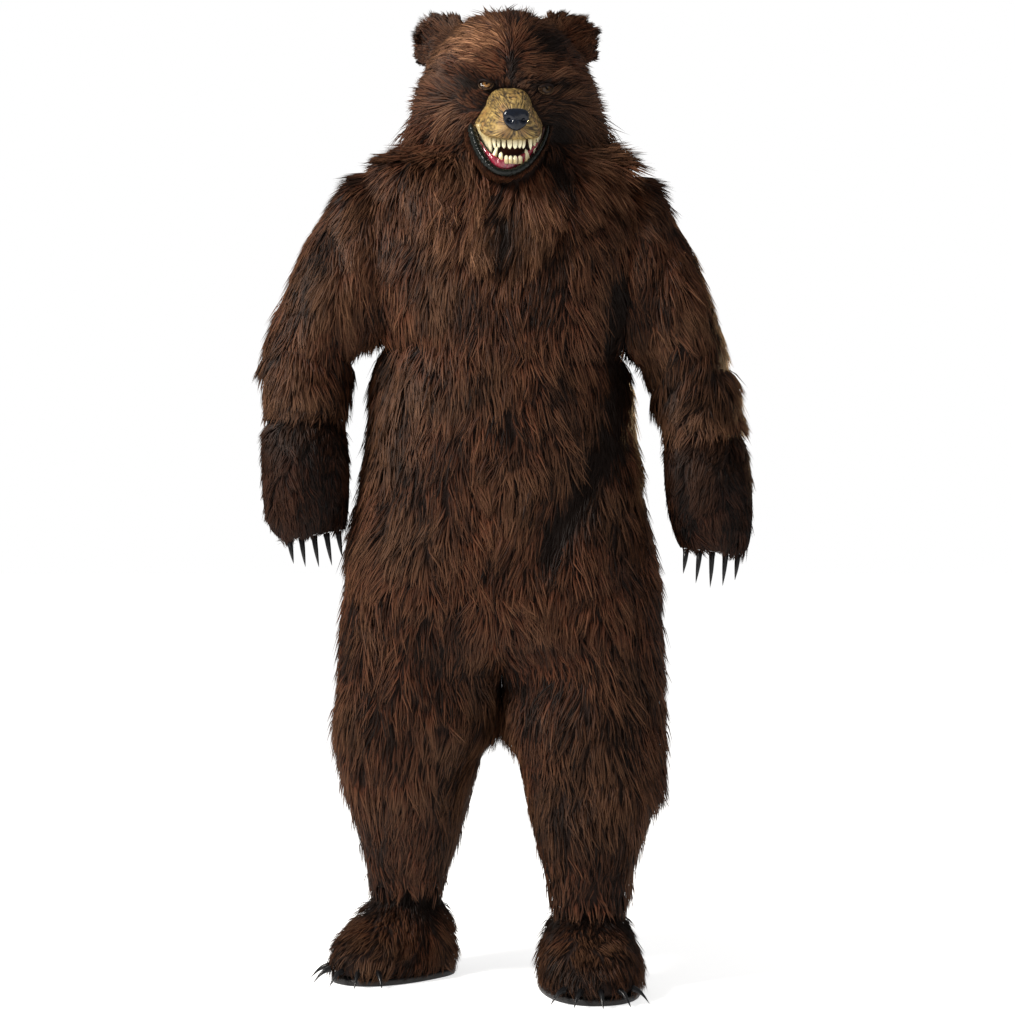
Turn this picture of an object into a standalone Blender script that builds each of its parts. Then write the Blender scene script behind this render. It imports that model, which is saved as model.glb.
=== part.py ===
"""Bear costume: a jumpsuit of long-pile fur cloth with mitts, foot covers and a mask.

Metres, +Z up. The origin is between the shoulders, where the wearer carries the costume, the front
faces -Y, and +X is the viewer's right. Every cloth piece is a closed wall, and a neighbour is a seam
gap away from it. The wall's outer face lies at the mean outline of the pile.
"""
import math

import bmesh
import bpy
import numpy as np

# Driving sizes
FLOOR = -1.567
SEAM_GAP = 0.0003
CLOTH = 0.012
RUFF_CLOTH = 0.014
HALF_SEAM = SEAM_GAP / 2
CENTRE_X = -0.012
HIP_SEAM_Z = -0.9135
CROTCH_Z = -1.075
FORK_RISE = 0.230
NECK_TOP = 0.040
SHOULDER_STEP = 0.004
NECK_ROW = 0.020
PANEL_COLUMNS = 10
ARMHOLE_ROW_COUNT = 10
TORSO_ROW_COUNT = 9
FORK_ROW_COUNT = 3
LEG_ROW_COUNT = 6
TORSO_FULLNESS = 0.82
LEG_FULLNESS = 0.90
SLEEVE_COLUMNS = 20
SLEEVE_RINGS = 12
MERGE_DISTANCE = 0.00002
SLIVER = 0.00001
SHARP_ANGLE = 50

COLLECTION_NAME = "bear_costume"

# Torso rows: height, side reach to the viewer's left and right of the centre line, front and back
# depth, and how far the section turns before its side, 90 degrees where the side stands upright
TORSO_ROWS = [
    {"z": 0.040, "left": 0.118, "right": 0.124, "front": 0.096, "back": 0.104, "turn": 90},
    {"z": 0.020, "left": 0.142, "right": 0.148, "front": 0.106, "back": 0.116, "turn": 84},
    {"z": 0.000, "left": 0.182, "right": 0.188, "front": 0.116, "back": 0.126, "turn": 74},
    {"z": -0.050, "left": 0.233, "right": 0.237, "front": 0.138, "back": 0.148, "turn": 62},
    {"z": -0.100, "left": 0.233, "right": 0.237, "front": 0.162, "back": 0.165, "turn": 56},
    {"z": -0.180, "left": 0.233, "right": 0.237, "front": 0.182, "back": 0.170, "turn": 56},
    {"z": -0.280, "left": 0.233, "right": 0.237, "front": 0.195, "back": 0.170, "turn": 60},
    {"z": -0.345, "left": 0.236, "right": 0.240, "front": 0.200, "back": 0.168, "turn": 66},
    {"z": -0.417, "left": 0.252, "right": 0.252, "front": 0.204, "back": 0.166, "turn": 74},
    {"z": -0.495, "left": 0.258, "right": 0.256, "front": 0.208, "back": 0.166, "turn": 82},
    {"z": -0.572, "left": 0.267, "right": 0.268, "front": 0.212, "back": 0.170, "turn": 88},
    {"z": -0.650, "left": 0.279, "right": 0.274, "front": 0.216, "back": 0.178, "turn": 90},
    {"z": -0.728, "left": 0.296, "right": 0.289, "front": 0.219, "back": 0.188, "turn": 90},
    {"z": -0.805, "left": 0.300, "right": 0.303, "front": 0.220, "back": 0.196, "turn": 90},
    {"z": -0.883, "left": 0.310, "right": 0.309, "front": 0.218, "back": 0.200, "turn": 90},
    {"z": -0.960, "left": 0.313, "right": 0.313, "front": 0.214, "back": 0.198, "turn": 90},
    {"z": -1.100, "left": 0.320, "right": 0.314, "front": 0.206, "back": 0.188, "turn": 90},
]

# Leg rows: height, inner and outer side, middle in depth and half depth
LEG_ROWS_LEFT = [
    {"z": -0.840, "inner": -0.012, "outer": -0.318, "mid": -0.010, "half": 0.205},
    {"z": -1.000, "inner": -0.012, "outer": -0.328, "mid": -0.008, "half": 0.195},
    {"z": -1.075, "inner": -0.012, "outer": -0.336, "mid": -0.006, "half": 0.186},
    {"z": -1.116, "inner": -0.032, "outer": -0.333, "mid": -0.006, "half": 0.180},
    {"z": -1.193, "inner": -0.060, "outer": -0.320, "mid": -0.004, "half": 0.164},
    {"z": -1.271, "inner": -0.086, "outer": -0.296, "mid": 0.000, "half": 0.140},
    {"z": -1.340, "inner": -0.108, "outer": -0.279, "mid": 0.006, "half": 0.112},
    {"z": -1.395, "inner": -0.121, "outer": -0.271, "mid": 0.010, "half": 0.086},
]
LEG_ROWS_RIGHT = [
    {"z": -0.840, "inner": -0.012, "outer": 0.291, "mid": -0.010, "half": 0.205},
    {"z": -1.000, "inner": -0.012, "outer": 0.300, "mid": -0.020, "half": 0.195},
    {"z": -1.075, "inner": -0.012, "outer": 0.302, "mid": -0.032, "half": 0.186},
    {"z": -1.116, "inner": 0.003, "outer": 0.301, "mid": -0.044, "half": 0.180},
    {"z": -1.186, "inner": 0.024, "outer": 0.300, "mid": -0.070, "half": 0.166},
    {"z": -1.259, "inner": 0.042, "outer": 0.266, "mid": -0.100, "half": 0.142},
    {"z": -1.330, "inner": 0.062, "outer": 0.241, "mid": -0.130, "half": 0.112},
    {"z": -1.405, "inner": 0.076, "outer": 0.226, "mid": -0.158, "half": 0.086},
]

# Armholes: plane across the arm, middle height, half height and half depth
ARMHOLES = {
    "left": {"plane": -0.245, "z": -0.175, "half_height": 0.170, "half_depth": 0.112},
    "right": {"plane": 0.225, "z": -0.190, "half_height": 0.178, "half_depth": 0.114},
}

# Sleeve rows: the outer and the inner side as seen from the front, middle in depth and half depth
SLEEVE_ROWS = {
    "left": [
        {"out_x": -0.288, "out_z": -0.016, "in_x": -0.258, "in_z": -0.348, "mid": -0.006, "half": 0.114},
        {"out_x": -0.336, "out_z": -0.062, "in_x": -0.272, "in_z": -0.354, "mid": -0.008, "half": 0.113},
        {"out_x": -0.384, "out_z": -0.140, "in_x": -0.286, "in_z": -0.366, "mid": -0.012, "half": 0.108},
        {"out_x": -0.418, "out_z": -0.225, "in_x": -0.296, "in_z": -0.386, "mid": -0.018, "half": 0.100},
        {"out_x": -0.450, "out_z": -0.298, "in_x": -0.300, "in_z": -0.411, "mid": -0.026, "half": 0.094},
        {"out_x": -0.472, "out_z": -0.358, "in_x": -0.300, "in_z": -0.437, "mid": -0.034, "half": 0.090},
        {"out_x": -0.472, "out_z": -0.424, "in_x": -0.304, "in_z": -0.462, "mid": -0.042, "half": 0.086},
        {"out_x": -0.468, "out_z": -0.482, "in_x": -0.306, "in_z": -0.490, "mid": -0.050, "half": 0.082},
    ],
    "right": [
        {"out_x": 0.268, "out_z": -0.024, "in_x": 0.242, "in_z": -0.378, "mid": -0.006, "half": 0.116},
        {"out_x": 0.308, "out_z": -0.078, "in_x": 0.254, "in_z": -0.392, "mid": -0.010, "half": 0.114},
        {"out_x": 0.349, "out_z": -0.157, "in_x": 0.265, "in_z": -0.414, "mid": -0.016, "half": 0.109},
        {"out_x": 0.380, "out_z": -0.238, "in_x": 0.274, "in_z": -0.440, "mid": -0.024, "half": 0.102},
        {"out_x": 0.405, "out_z": -0.310, "in_x": 0.281, "in_z": -0.464, "mid": -0.032, "half": 0.096},
        {"out_x": 0.427, "out_z": -0.382, "in_x": 0.287, "in_z": -0.488, "mid": -0.042, "half": 0.092},
        {"out_x": 0.443, "out_z": -0.452, "in_x": 0.291, "in_z": -0.508, "mid": -0.052, "half": 0.088},
        {"out_x": 0.456, "out_z": -0.512, "in_x": 0.295, "in_z": -0.528, "mid": -0.060, "half": 0.084},
    ],
}

# Creases of a sleeve: place along it, the side they lie on (0 outer, 90 front, 180 inner), and size
SLEEVE_CREASES = [
    {"along": 0.26, "turn": 60, "depth": 0.009, "width": 0.050},
    {"along": 0.50, "turn": 170, "depth": 0.012, "width": 0.050},
    {"along": 0.64, "turn": 100, "depth": 0.010, "width": 0.045},
    {"along": 0.57, "turn": 270, "depth": 0.009, "width": 0.050},
    {"along": 0.73, "turn": 30, "depth": 0.009, "width": 0.036},
]

# Mitt rows: the same columns, from the gauntlet's edge inside the sleeve to the flat finger end
MITT_ROWS = {
    "left": [
        {"out_x": -0.454, "out_z": -0.436, "in_x": -0.321, "in_z": -0.456, "mid": -0.043, "half": 0.067},
        {"out_x": -0.4550, "out_z": -0.487, "in_x": -0.3190, "in_z": -0.493, "mid": -0.050, "half": 0.0684},
        {"out_x": -0.467, "out_z": -0.512, "in_x": -0.311, "in_z": -0.516, "mid": -0.053, "half": 0.078},
        {"out_x": -0.474, "out_z": -0.550, "in_x": -0.305, "in_z": -0.552, "mid": -0.057, "half": 0.081},
        {"out_x": -0.473, "out_z": -0.602, "in_x": -0.303, "in_z": -0.600, "mid": -0.061, "half": 0.079},
        {"out_x": -0.470, "out_z": -0.652, "in_x": -0.303, "in_z": -0.644, "mid": -0.065, "half": 0.072},
        {"out_x": -0.462, "out_z": -0.690, "in_x": -0.305, "in_z": -0.678, "mid": -0.068, "half": 0.060},
        {"out_x": -0.449, "out_z": -0.715, "in_x": -0.308, "in_z": -0.697, "mid": -0.070, "half": 0.044},
        {"out_x": -0.432, "out_z": -0.728, "in_x": -0.313, "in_z": -0.707, "mid": -0.071, "half": 0.027},
    ],
    "right": [
        {"out_x": 0.428, "out_z": -0.458, "in_x": 0.307, "in_z": -0.502, "mid": -0.053, "half": 0.068},
        {"out_x": 0.4430, "out_z": -0.515, "in_x": 0.3080, "in_z": -0.527, "mid": -0.060, "half": 0.0706},
        {"out_x": 0.455, "out_z": -0.542, "in_x": 0.300, "in_z": -0.554, "mid": -0.063, "half": 0.080},
        {"out_x": 0.464, "out_z": -0.582, "in_x": 0.297, "in_z": -0.590, "mid": -0.067, "half": 0.082},
        {"out_x": 0.468, "out_z": -0.636, "in_x": 0.300, "in_z": -0.638, "mid": -0.071, "half": 0.079},
        {"out_x": 0.468, "out_z": -0.682, "in_x": 0.306, "in_z": -0.680, "mid": -0.074, "half": 0.072},
        {"out_x": 0.465, "out_z": -0.716, "in_x": 0.314, "in_z": -0.708, "mid": -0.077, "half": 0.060},
        {"out_x": 0.460, "out_z": -0.740, "in_x": 0.321, "in_z": -0.729, "mid": -0.079, "half": 0.044},
        {"out_x": 0.451, "out_z": -0.754, "in_x": 0.328, "in_z": -0.742, "mid": -0.080, "half": 0.027},
    ],
}

# Mitt claws: place along the finger end, from its outer side, and the way from base to tip
MITT_CLAWS = {
    "left": [
        {"along": 0.12, "dx": 0.008, "dz": -0.046},
        {"along": 0.31, "dx": 0.008, "dz": -0.056},
        {"along": 0.51, "dx": 0.010, "dz": -0.061},
        {"along": 0.71, "dx": 0.011, "dz": -0.062},
        {"along": 0.90, "dx": 0.008, "dz": -0.050},
    ],
    "right": [
        {"along": 0.10, "dx": -0.006, "dz": -0.050},
        {"along": 0.29, "dx": -0.006, "dz": -0.063},
        {"along": 0.50, "dx": -0.004, "dz": -0.069},
        {"along": 0.69, "dx": -0.008, "dz": -0.063},
        {"along": 0.90, "dx": -0.006, "dz": -0.047},
    ],
}

# A claw: share of its length, and share of its radius there
CLAW_RINGS = [
    {"along": 0.00, "size": 1.00},
    {"along": 0.25, "size": 0.94},
    {"along": 0.50, "size": 0.78},
    {"along": 0.75, "size": 0.52},
    {"along": 0.93, "size": 0.22},
    {"along": 1.00, "size": 0.06},
]
CLAW_SIDES = 6
CLAW_RADIUS = 0.0062
CLAW_BOW = 0.006
MITT_CLAW_LEAN = 0.004

# Feet: where the ankle stands, the way the toes point from -Y towards +X, and the leg's hem height
FEET = {
    "left": {"x": -0.196, "y": 0.010, "toes": -38.0, "hem": -1.395},
    "right": {"x": 0.151, "y": -0.158, "toes": 5.0, "hem": -1.405},
}
FOOT_COLUMNS = 20
FOOT_SQUARENESS = 0.87
SOLE_THICKNESS = 0.0117
SOLE_EDGE = 0.004
SHAFT_RADIUS = 0.0622
SHAFT_STEPS = (-0.012, 0.015, 0.045)
FOOT_ROWS = [
    {"height": 0.012, "front": 0.178, "back": 0.078, "half": 0.090},
    {"height": 0.028, "front": 0.190, "back": 0.085, "half": 0.097},
    {"height": 0.055, "front": 0.188, "back": 0.086, "half": 0.098},
    {"height": 0.083, "front": 0.162, "back": 0.084, "half": 0.092},
    {"height": 0.106, "front": 0.122, "back": 0.080, "half": 0.083},
    {"height": 0.126, "front": 0.090, "back": 0.074, "half": 0.073},
    {"height": 0.144, "front": 0.068, "back": 0.066, "half": 0.065},
]
TOE_TURNS = (-36, -18, 0, 18, 36)
TOE_ROW = 1
TOE_REACH = 0.036
TOE_TIP_HEIGHT = 0.003

# Mask rows: height, half width, front and back depth of the head
HEAD_X = -0.003
HEAD_ROWS = [
    {"z": 0.030, "half": 0.170, "front": 0.150, "back": 0.152},
    {"z": 0.058, "half": 0.176, "front": 0.156, "back": 0.160},
    {"z": 0.087, "half": 0.178, "front": 0.158, "back": 0.164},
    {"z": 0.126, "half": 0.172, "front": 0.157, "back": 0.163},
    {"z": 0.165, "half": 0.160, "front": 0.150, "back": 0.156},
    {"z": 0.204, "half": 0.143, "front": 0.134, "back": 0.142},
    {"z": 0.235, "half": 0.121, "front": 0.112, "back": 0.122},
    {"z": 0.262, "half": 0.092, "front": 0.084, "back": 0.092},
    {"z": 0.282, "half": 0.057, "front": 0.052, "back": 0.056},
    {"z": 0.292, "half": 0.026, "front": 0.024, "back": 0.025},
    {"z": 0.295, "half": 0.000, "front": 0.000, "back": 0.000},
]
MASK_LEVELS = 12
MASK_COLUMNS = 17

# Ears: top and low end of the seam on the head, reach and tilt up from level
EARS = {
    "left": {"top": 0.268, "low": 0.196, "reach": 0.060, "tilt": 38},
    "right": {"top": 0.272, "low": 0.200, "reach": 0.062, "tilt": 40},
}
EAR_DEPTH = 0.012
EAR_FLARE = 0.020
EAR_CUP = 0.016
EAR_COLUMNS = 13
EAR_ROWS = 6
EAR_CLOTH = 0.020
EAR_LIFT = 0.0012
EAR_CORNER = 0.08
EAR_ROUNDNESS = 0.55
EAR_CUP_REACH = 1.6
EAR_RIM_THINNING = 0.45

# Face: its middle and turn, the muzzle's rows, nose, eyes and mouth
FACE_X = -0.0145
FACE_YAW = 6.0
FACE_DEPTH = 0.150
FACE_SEAT_STEPS = 4
RUFF_SLOPE = 0.330
RUFF_SLOPE_GROWTH = 26.0
RUFF_STEP = 0.0018
RUFF_STEP_REACH = 0.008
MUZZLE_WALL = 0.005
MUZZLE_END = 0.262
MUZZLE_CHEEK = 0.22
MUZZLE_BRIDGE = 0.70
MUZZLE_SQUARENESS = 0.65
MUZZLE_BLEND = 0.30
MUZZLE_SPREAD = 0.9
MUZZLE_RINGS = 7
MUZZLE_COLUMNS = 22
MUZZLE_ROWS = [
    {"along": 0.00, "half": 0.064, "top": 0.123, "bottom": 0.046},
    {"along": 0.25, "half": 0.060, "top": 0.114, "bottom": 0.036},
    {"along": 0.50, "half": 0.054, "top": 0.102, "bottom": 0.027},
    {"along": 0.75, "half": 0.047, "top": 0.089, "bottom": 0.020},
    {"along": 0.92, "half": 0.038, "top": 0.077, "bottom": 0.018},
    {"along": 1.00, "half": 0.027, "top": 0.068, "bottom": 0.024},
]

# The nose and an eye: share of their depth, and share of their outline's size there
NOSE_RINGS = [
    {"along": 0.00, "size": 0.86},
    {"along": 0.22, "size": 1.00},
    {"along": 0.50, "size": 0.98},
    {"along": 0.76, "size": 0.80},
    {"along": 0.93, "size": 0.48},
    {"along": 1.00, "size": 0.12},
]
EYE_RINGS = [
    {"along": 0.00, "size": 1.00},
    {"along": 0.35, "size": 0.93},
    {"along": 0.70, "size": 0.70},
    {"along": 0.92, "size": 0.38},
    {"along": 1.00, "size": 0.08},
]
NOSE_COLUMNS = 16
NOSE_WIDTH_LOW = 0.86
NOSE_WIDTH_GROWTH = 0.26
NOSE_Z = 0.047
NOSE_HALF_WIDTH = 0.025
NOSE_HALF_HEIGHT = 0.019
NOSE_DEPTH = 0.026
EYES = {
    "left": {"x": -0.0414, "z": 0.1315},
    "right": {"x": 0.0715, "z": 0.1250},
}
EYE_HALF_WIDTH = 0.0135
EYE_HALF_HEIGHT = 0.0100
EYE_DEPTH = 0.007
EYE_COLUMNS = 14

# Mouth: the jaw's and the upper lip's lines, and what follows them
MOUTH_HALF = 0.073
MOUTH_BACK = 0.160
MOUTH_CORNER_Z = 0.056
JAW_REACH = 0.066
JAW_DROP = 0.100
UPPER_HALF = 0.050
UPPER_REACH = 0.082
JAW_SHIFT = -0.013
JAW_SQUARENESS = 1.3
JAW_COLUMNS = 19
LIP_RADIUS = 0.005
LIP_SIDES = 7
LIP_RINGS = 25
LIP_START = 0.06
CHIN_CLOTH = 0.010
CHIN_START = 0.10
CHIN_ROWS = 4
CHIN_LEAST_DEPTH = 0.001
GUM_CLOTH = 0.005
GUM_HEIGHT = 0.017
GUM_START = 0.34
LINING_CLOTH = 0.004
LINING_ROWS = 6
LINING_TOP = {"half": 0.032, "ahead": 0.162, "reach": 0.050, "z": 0.040, "drop": 0.022}
LINING_BACK = 0.018
LINING_HOLLOW = 0.020

# Rows of teeth: how many humps a half turn would hold, lengths of the front, canine and side teeth,
# the turn from the middle to the canines, and the faces' way into the mouth
UPPER_TEETH = {"humps": 16, "front": 0.017, "canine": 0.024, "side": 0.012, "canine_turn": 0.62}
LOWER_TEETH = {"humps": 16, "front": 0.013, "canine": 0.018, "side": 0.006, "canine_turn": 0.48}
UPPER_TEETH_START = 0.20
UPPER_TEETH_COLUMNS = 65
UPPER_TEETH_FACES = (0.006, 0.011)
UPPER_TEETH_LEAN = 0.5
LOWER_TEETH_COLUMNS = 55
LOWER_TEETH_FACES = (0.0012, 0.0044)
TOOTH_ROOT = 0.35
TOOTH_SQUARENESS = 0.35
CANINE_WIDTH = 0.10

# Ruff: hem height at the shoulders, further drop of the hem, stand off over the shoulders
RUFF_ROWS = 5
RUFF_SIDE_HEM = 0.007
RUFF_DROP = {"front": 0.172, "back": 0.130}
RUFF_STAND_OFF = 0.052
RUFF_BELLY = 0.016
RUFF_CLEARANCE = 0.007

# Largest folds of the jumpsuit: a soft trough between two points seen from the front
FOLDS = [
    {"side": "front", "x1": 0.212, "z1": -0.200, "x2": 0.190, "z2": -0.520, "depth": 0.020, "width": 0.036},
    {"side": "front", "x1": 0.190, "z1": -0.520, "x2": 0.050, "z2": -0.760, "depth": 0.022, "width": 0.040},
    {"side": "front", "x1": 0.240, "z1": -0.760, "x2": 0.090, "z2": -0.850, "depth": 0.010, "width": 0.028},
    {"side": "front", "x1": -0.225, "z1": -0.240, "x2": -0.215, "z2": -0.420, "depth": 0.014, "width": 0.026},
    {"side": "front", "x1": -0.270, "z1": -0.980, "x2": -0.150, "z2": -1.100, "depth": 0.010, "width": 0.028},
    {"side": "front", "x1": 0.240, "z1": -1.150, "x2": 0.090, "z2": -1.190, "depth": 0.010, "width": 0.026},
    {"side": "back", "x1": 0.200, "z1": -0.240, "x2": 0.120, "z2": -0.480, "depth": 0.012, "width": 0.032},
    {"side": "back", "x1": -0.210, "z1": -0.240, "x2": -0.130, "z2": -0.460, "depth": 0.012, "width": 0.032},
    {"side": "back", "x1": -0.220, "z1": -0.960, "x2": -0.060, "z2": -1.020, "depth": 0.010, "width": 0.030},
    {"side": "back", "x1": 0.210, "z1": -0.950, "x2": 0.050, "z2": -1.015, "depth": 0.010, "width": 0.030},
    {"side": "back", "x1": -0.250, "z1": -1.190, "x2": -0.110, "z2": -1.220, "depth": 0.009, "width": 0.026},
    {"side": "back", "x1": 0.230, "z1": -1.185, "x2": 0.090, "z2": -1.220, "depth": 0.009, "width": 0.026},
]

# Surface finishes: colour, roughness and metallic value
FINISHES = {
    "fur": {"color": (0.070, 0.036, 0.025), "roughness": 0.62, "metallic": 0.0},
    "dark_fur": {"color": (0.036, 0.018, 0.013), "roughness": 0.62, "metallic": 0.0},
    "black_hide": {"color": (0.012, 0.011, 0.011), "roughness": 0.38, "metallic": 0.0},
    "claw": {"color": (0.014, 0.013, 0.014), "roughness": 0.16, "metallic": 0.0},
    "muzzle": {"color": (0.520, 0.330, 0.130), "roughness": 0.48, "metallic": 0.0},
    "nose": {"color": (0.012, 0.014, 0.020), "roughness": 0.14, "metallic": 0.0},
    "eye": {"color": (0.120, 0.050, 0.012), "roughness": 0.08, "metallic": 0.0},
    "tooth": {"color": (0.720, 0.640, 0.420), "roughness": 0.22, "metallic": 0.0},
    "gum": {"color": (0.360, 0.030, 0.060), "roughness": 0.20, "metallic": 0.0},
    "lip": {"color": (0.010, 0.009, 0.010), "roughness": 0.14, "metallic": 0.0},
    "mouth": {"color": (0.090, 0.030, 0.018), "roughness": 0.30, "metallic": 0.0},
}


def clear_scene():
    """Remove every object of the scene."""
    for item in list(bpy.data.objects):
        bpy.data.objects.remove(item, do_unlink=True)


def new_collection(name):
    """Make a collection in the scene."""
    collection = bpy.data.collections.new(name)
    bpy.context.scene.collection.children.link(collection)
    return collection


def make_material(node_name, finish):
    """Give one node its own Principled material with a finish from the table."""
    values = FINISHES[finish]
    material = bpy.data.materials.new(node_name)
    material.use_nodes = True
    shader = material.node_tree.nodes["Principled BSDF"]
    shader.inputs["Base Color"].default_value = (*values["color"], 1.0)
    shader.inputs["Roughness"].default_value = values["roughness"]
    shader.inputs["Metallic"].default_value = values["metallic"]
    return material


def finish_object(name, mesh, finish, collection):
    """Put a mesh into the model as a named object with its material."""
    item = bpy.data.objects.new(name, mesh)
    mesh.materials.append(make_material(name, finish))
    collection.objects.link(item)
    mesh.shade_smooth()
    mesh.set_sharp_from_angle(angle=math.radians(SHARP_ANGLE))
    return item


def column(rows, name):
    """One named column of a table as an array."""
    return np.array([row[name] for row in rows], dtype=float)


def spread(rows, name, at_name, at):
    """Read a table's column at other places, along straight lines between its rows."""
    places = column(rows, at_name)
    order = np.argsort(places)
    return np.interp(at, places[order], column(rows, name)[order])


def smooth_step(low, high, value):
    """0 below low, 1 above high, with a soft S between."""
    t = np.clip((value - low) / (high - low), 0.0, 1.0)
    return t * t * (3 - 2 * t)


def grid_faces(rows, columns, start, closed):
    """Quads of a grid of points, closed round along its columns if asked."""
    last = columns if closed else columns - 1
    faces = []
    for i in range(rows - 1):
        for j in range(last):
            k = (j + 1) % columns
            base = start + i * columns
            faces.append((base + j, base + k, base + columns + k, base + columns + j))
    return faces


def edge_faces(outer_line, inner_line, closed):
    """Quads that join an edge of the outer face to the same edge of the inner face."""
    count = len(outer_line)
    last = count if closed else count - 1
    faces = []
    for j in range(last):
        k = (j + 1) % count
        faces.append((outer_line[j], outer_line[k], inner_line[k], inner_line[j]))
    return faces


def wall(name, outer, inner, finish, collection, closed=False, capped=False):
    """A closed wall between two grids of points, each rows by columns by 3.

    closed is for a tube, whose columns run all the way round. capped is for a last row that falls
    together at a pole, where the wall has no edge.
    """
    rows, columns = outer.shape[:2]
    count = rows * columns
    points = np.concatenate([outer.reshape(-1, 3), inner.reshape(-1, 3)])
    faces = grid_faces(rows, columns, 0, closed) + grid_faces(rows, columns, count, closed)
    top = list(range(columns))
    bottom = list(range(count - columns, count))
    borders = [(top, closed)]
    if not capped:
        borders.append((bottom, closed))
    if not closed:
        borders.append((list(range(0, count, columns)), False))
        borders.append((list(range(columns - 1, count, columns)), False))
    for line, round_line in borders:
        faces += edge_faces(line, [index + count for index in line], round_line)
    return finish_object(name, clean_mesh(name, points, faces), finish, collection)


def clean_mesh(name, points, faces):
    """A mesh with merged points, no faces without area, and faces pointing out."""
    mesh = bpy.data.meshes.new(name)
    mesh.from_pydata([tuple(point) for point in points.tolist()], [], faces)
    work = bmesh.new()
    work.from_mesh(mesh)
    bmesh.ops.remove_doubles(work, verts=work.verts, dist=MERGE_DISTANCE)
    bmesh.ops.dissolve_degenerate(work, edges=work.edges, dist=SLIVER)
    bmesh.ops.recalc_face_normals(work, faces=work.faces)
    work.to_mesh(mesh)
    work.free()
    return mesh


def loft(name, rings, finish, collection):
    """A solid through closed rings of points, capped at both ends."""
    rows, columns = rings.shape[:2]
    faces = grid_faces(rows, columns, 0, True)
    faces.append(tuple(range(columns)))
    faces.append(tuple(range((rows - 1) * columns, rows * columns)))
    return finish_object(name, clean_mesh(name, rings.reshape(-1, 3), faces), finish, collection)


def fold_depth(x, z, side):
    """How deep the folds' troughs are at points seen from the front or back."""
    depth = np.zeros(np.broadcast(x, z).shape)
    for fold in FOLDS:
        if fold["side"] != side:
            continue
        dx = fold["x2"] - fold["x1"]
        dz = fold["z2"] - fold["z1"]
        along = ((x - fold["x1"]) * dx + (z - fold["z1"]) * dz) / (dx * dx + dz * dz)
        along = np.clip(along, 0.0, 1.0)
        away = np.hypot(x - fold["x1"] - along * dx, z - fold["z1"] - along * dz)
        depth = np.maximum(depth, fold["depth"] * np.exp(-(away / fold["width"]) ** 2))
    return depth


def armhole_opening(z, hole, inset):
    """Half depth of the armhole oval at heights z, with its edge moved in by inset."""
    reach = (z - hole["z"]) / (hole["half_height"] - inset)
    inside = np.clip(1 - reach * reach, 0.0, None)
    return (hole["half_depth"] - inset) * np.sqrt(inside)


def body_panel_rows(side):
    """Heights of a body panel's rows, close together where the armhole's edge turns."""
    hole = ARMHOLES[side]
    turn = np.linspace(0, math.pi, ARMHOLE_ROW_COUNT)
    armhole = hole["z"] + hole["half_height"] * np.cos(turn)
    above = np.array([NECK_TOP, NECK_ROW, armhole[0] + SHOULDER_STEP])
    armhole_end = hole["z"] - hole["half_height"]
    torso = np.linspace(armhole_end, HIP_SEAM_Z + HALF_SEAM, TORSO_ROW_COUNT + 1)[1:]
    return np.concatenate([above, armhole, torso])


def leg_panel_rows(leg_rows):
    """Heights of a leg panel's rows, from the hip seam over the crotch to the hem."""
    fork = np.linspace(HIP_SEAM_Z - HALF_SEAM, CROTCH_Z, FORK_ROW_COUNT + 1)
    leg = np.linspace(CROTCH_Z, leg_rows[-1]["z"], LEG_ROW_COUNT + 1)[1:]
    return np.concatenate([fork, leg])


def torso_section(z, turn, side, half, inset):
    """Points of the torso's quarter section, from its centre line to its side or armhole edge.

    turn runs from 0 at the centre line to 1 at the side. The reach grows as the sine and the depth
    shrinks as the cosine of the angle turned, with both scaled to end at the side.
    """
    sign = -1 if side == "left" else 1
    hole = ARMHOLES[side]
    upper = hole["z"] + hole["half_height"]
    lower = hole["z"] - hole["half_height"]
    reach = spread(TORSO_ROWS, side, "z", z)
    depth = spread(TORSO_ROWS, half, "z", z) - inset
    end = np.radians(spread(TORSO_ROWS, "turn", "z", z))
    in_hole = (z < upper + 1e-9) & (z > lower - 1e-9)
    past = np.minimum(upper - z, z - lower)
    cut = np.where(in_hole, np.clip(past / CLOTH, 0.0, 1.0), 0.0)
    reach = np.where(in_hole, abs(hole["plane"] - CENTRE_X), reach) - inset * (1 - cut)
    opening = np.where(in_hole, armhole_opening(z, hole, inset), 0.0)
    angle = turn * end
    wide = (np.sin(angle) / np.sin(end)) ** TORSO_FULLNESS
    deep = np.clip((np.cos(angle) - np.cos(end)) / (1 - np.cos(end)), 0.0, 1.0) ** TORSO_FULLNESS
    x = CENTRE_X + sign * reach * wide
    y_sign = -1 if half == "front" else 1
    return x, y_sign * (opening + (depth - opening) * deep)


def leg_section(z, turn, side, half, inset, leg_rows):
    """Points of half a leg's section, from the inseam round its front or back to its outer side."""
    inner = spread(leg_rows, "inner", "z", z)
    outer = spread(leg_rows, "outer", "z", z)
    sign = -1 if side == "left" else 1
    inner = inner + sign * inset
    outer = outer - sign * inset
    half_width = (outer - inner) / 2
    angle = turn * math.pi
    x = inner + half_width * (1 - np.cos(angle))
    depth = (spread(leg_rows, "half", "z", z) - inset) * np.sin(angle) ** LEG_FULLNESS
    y_sign = -1 if half == "front" else 1
    return x, spread(leg_rows, "mid", "z", z) + y_sign * depth


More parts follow.
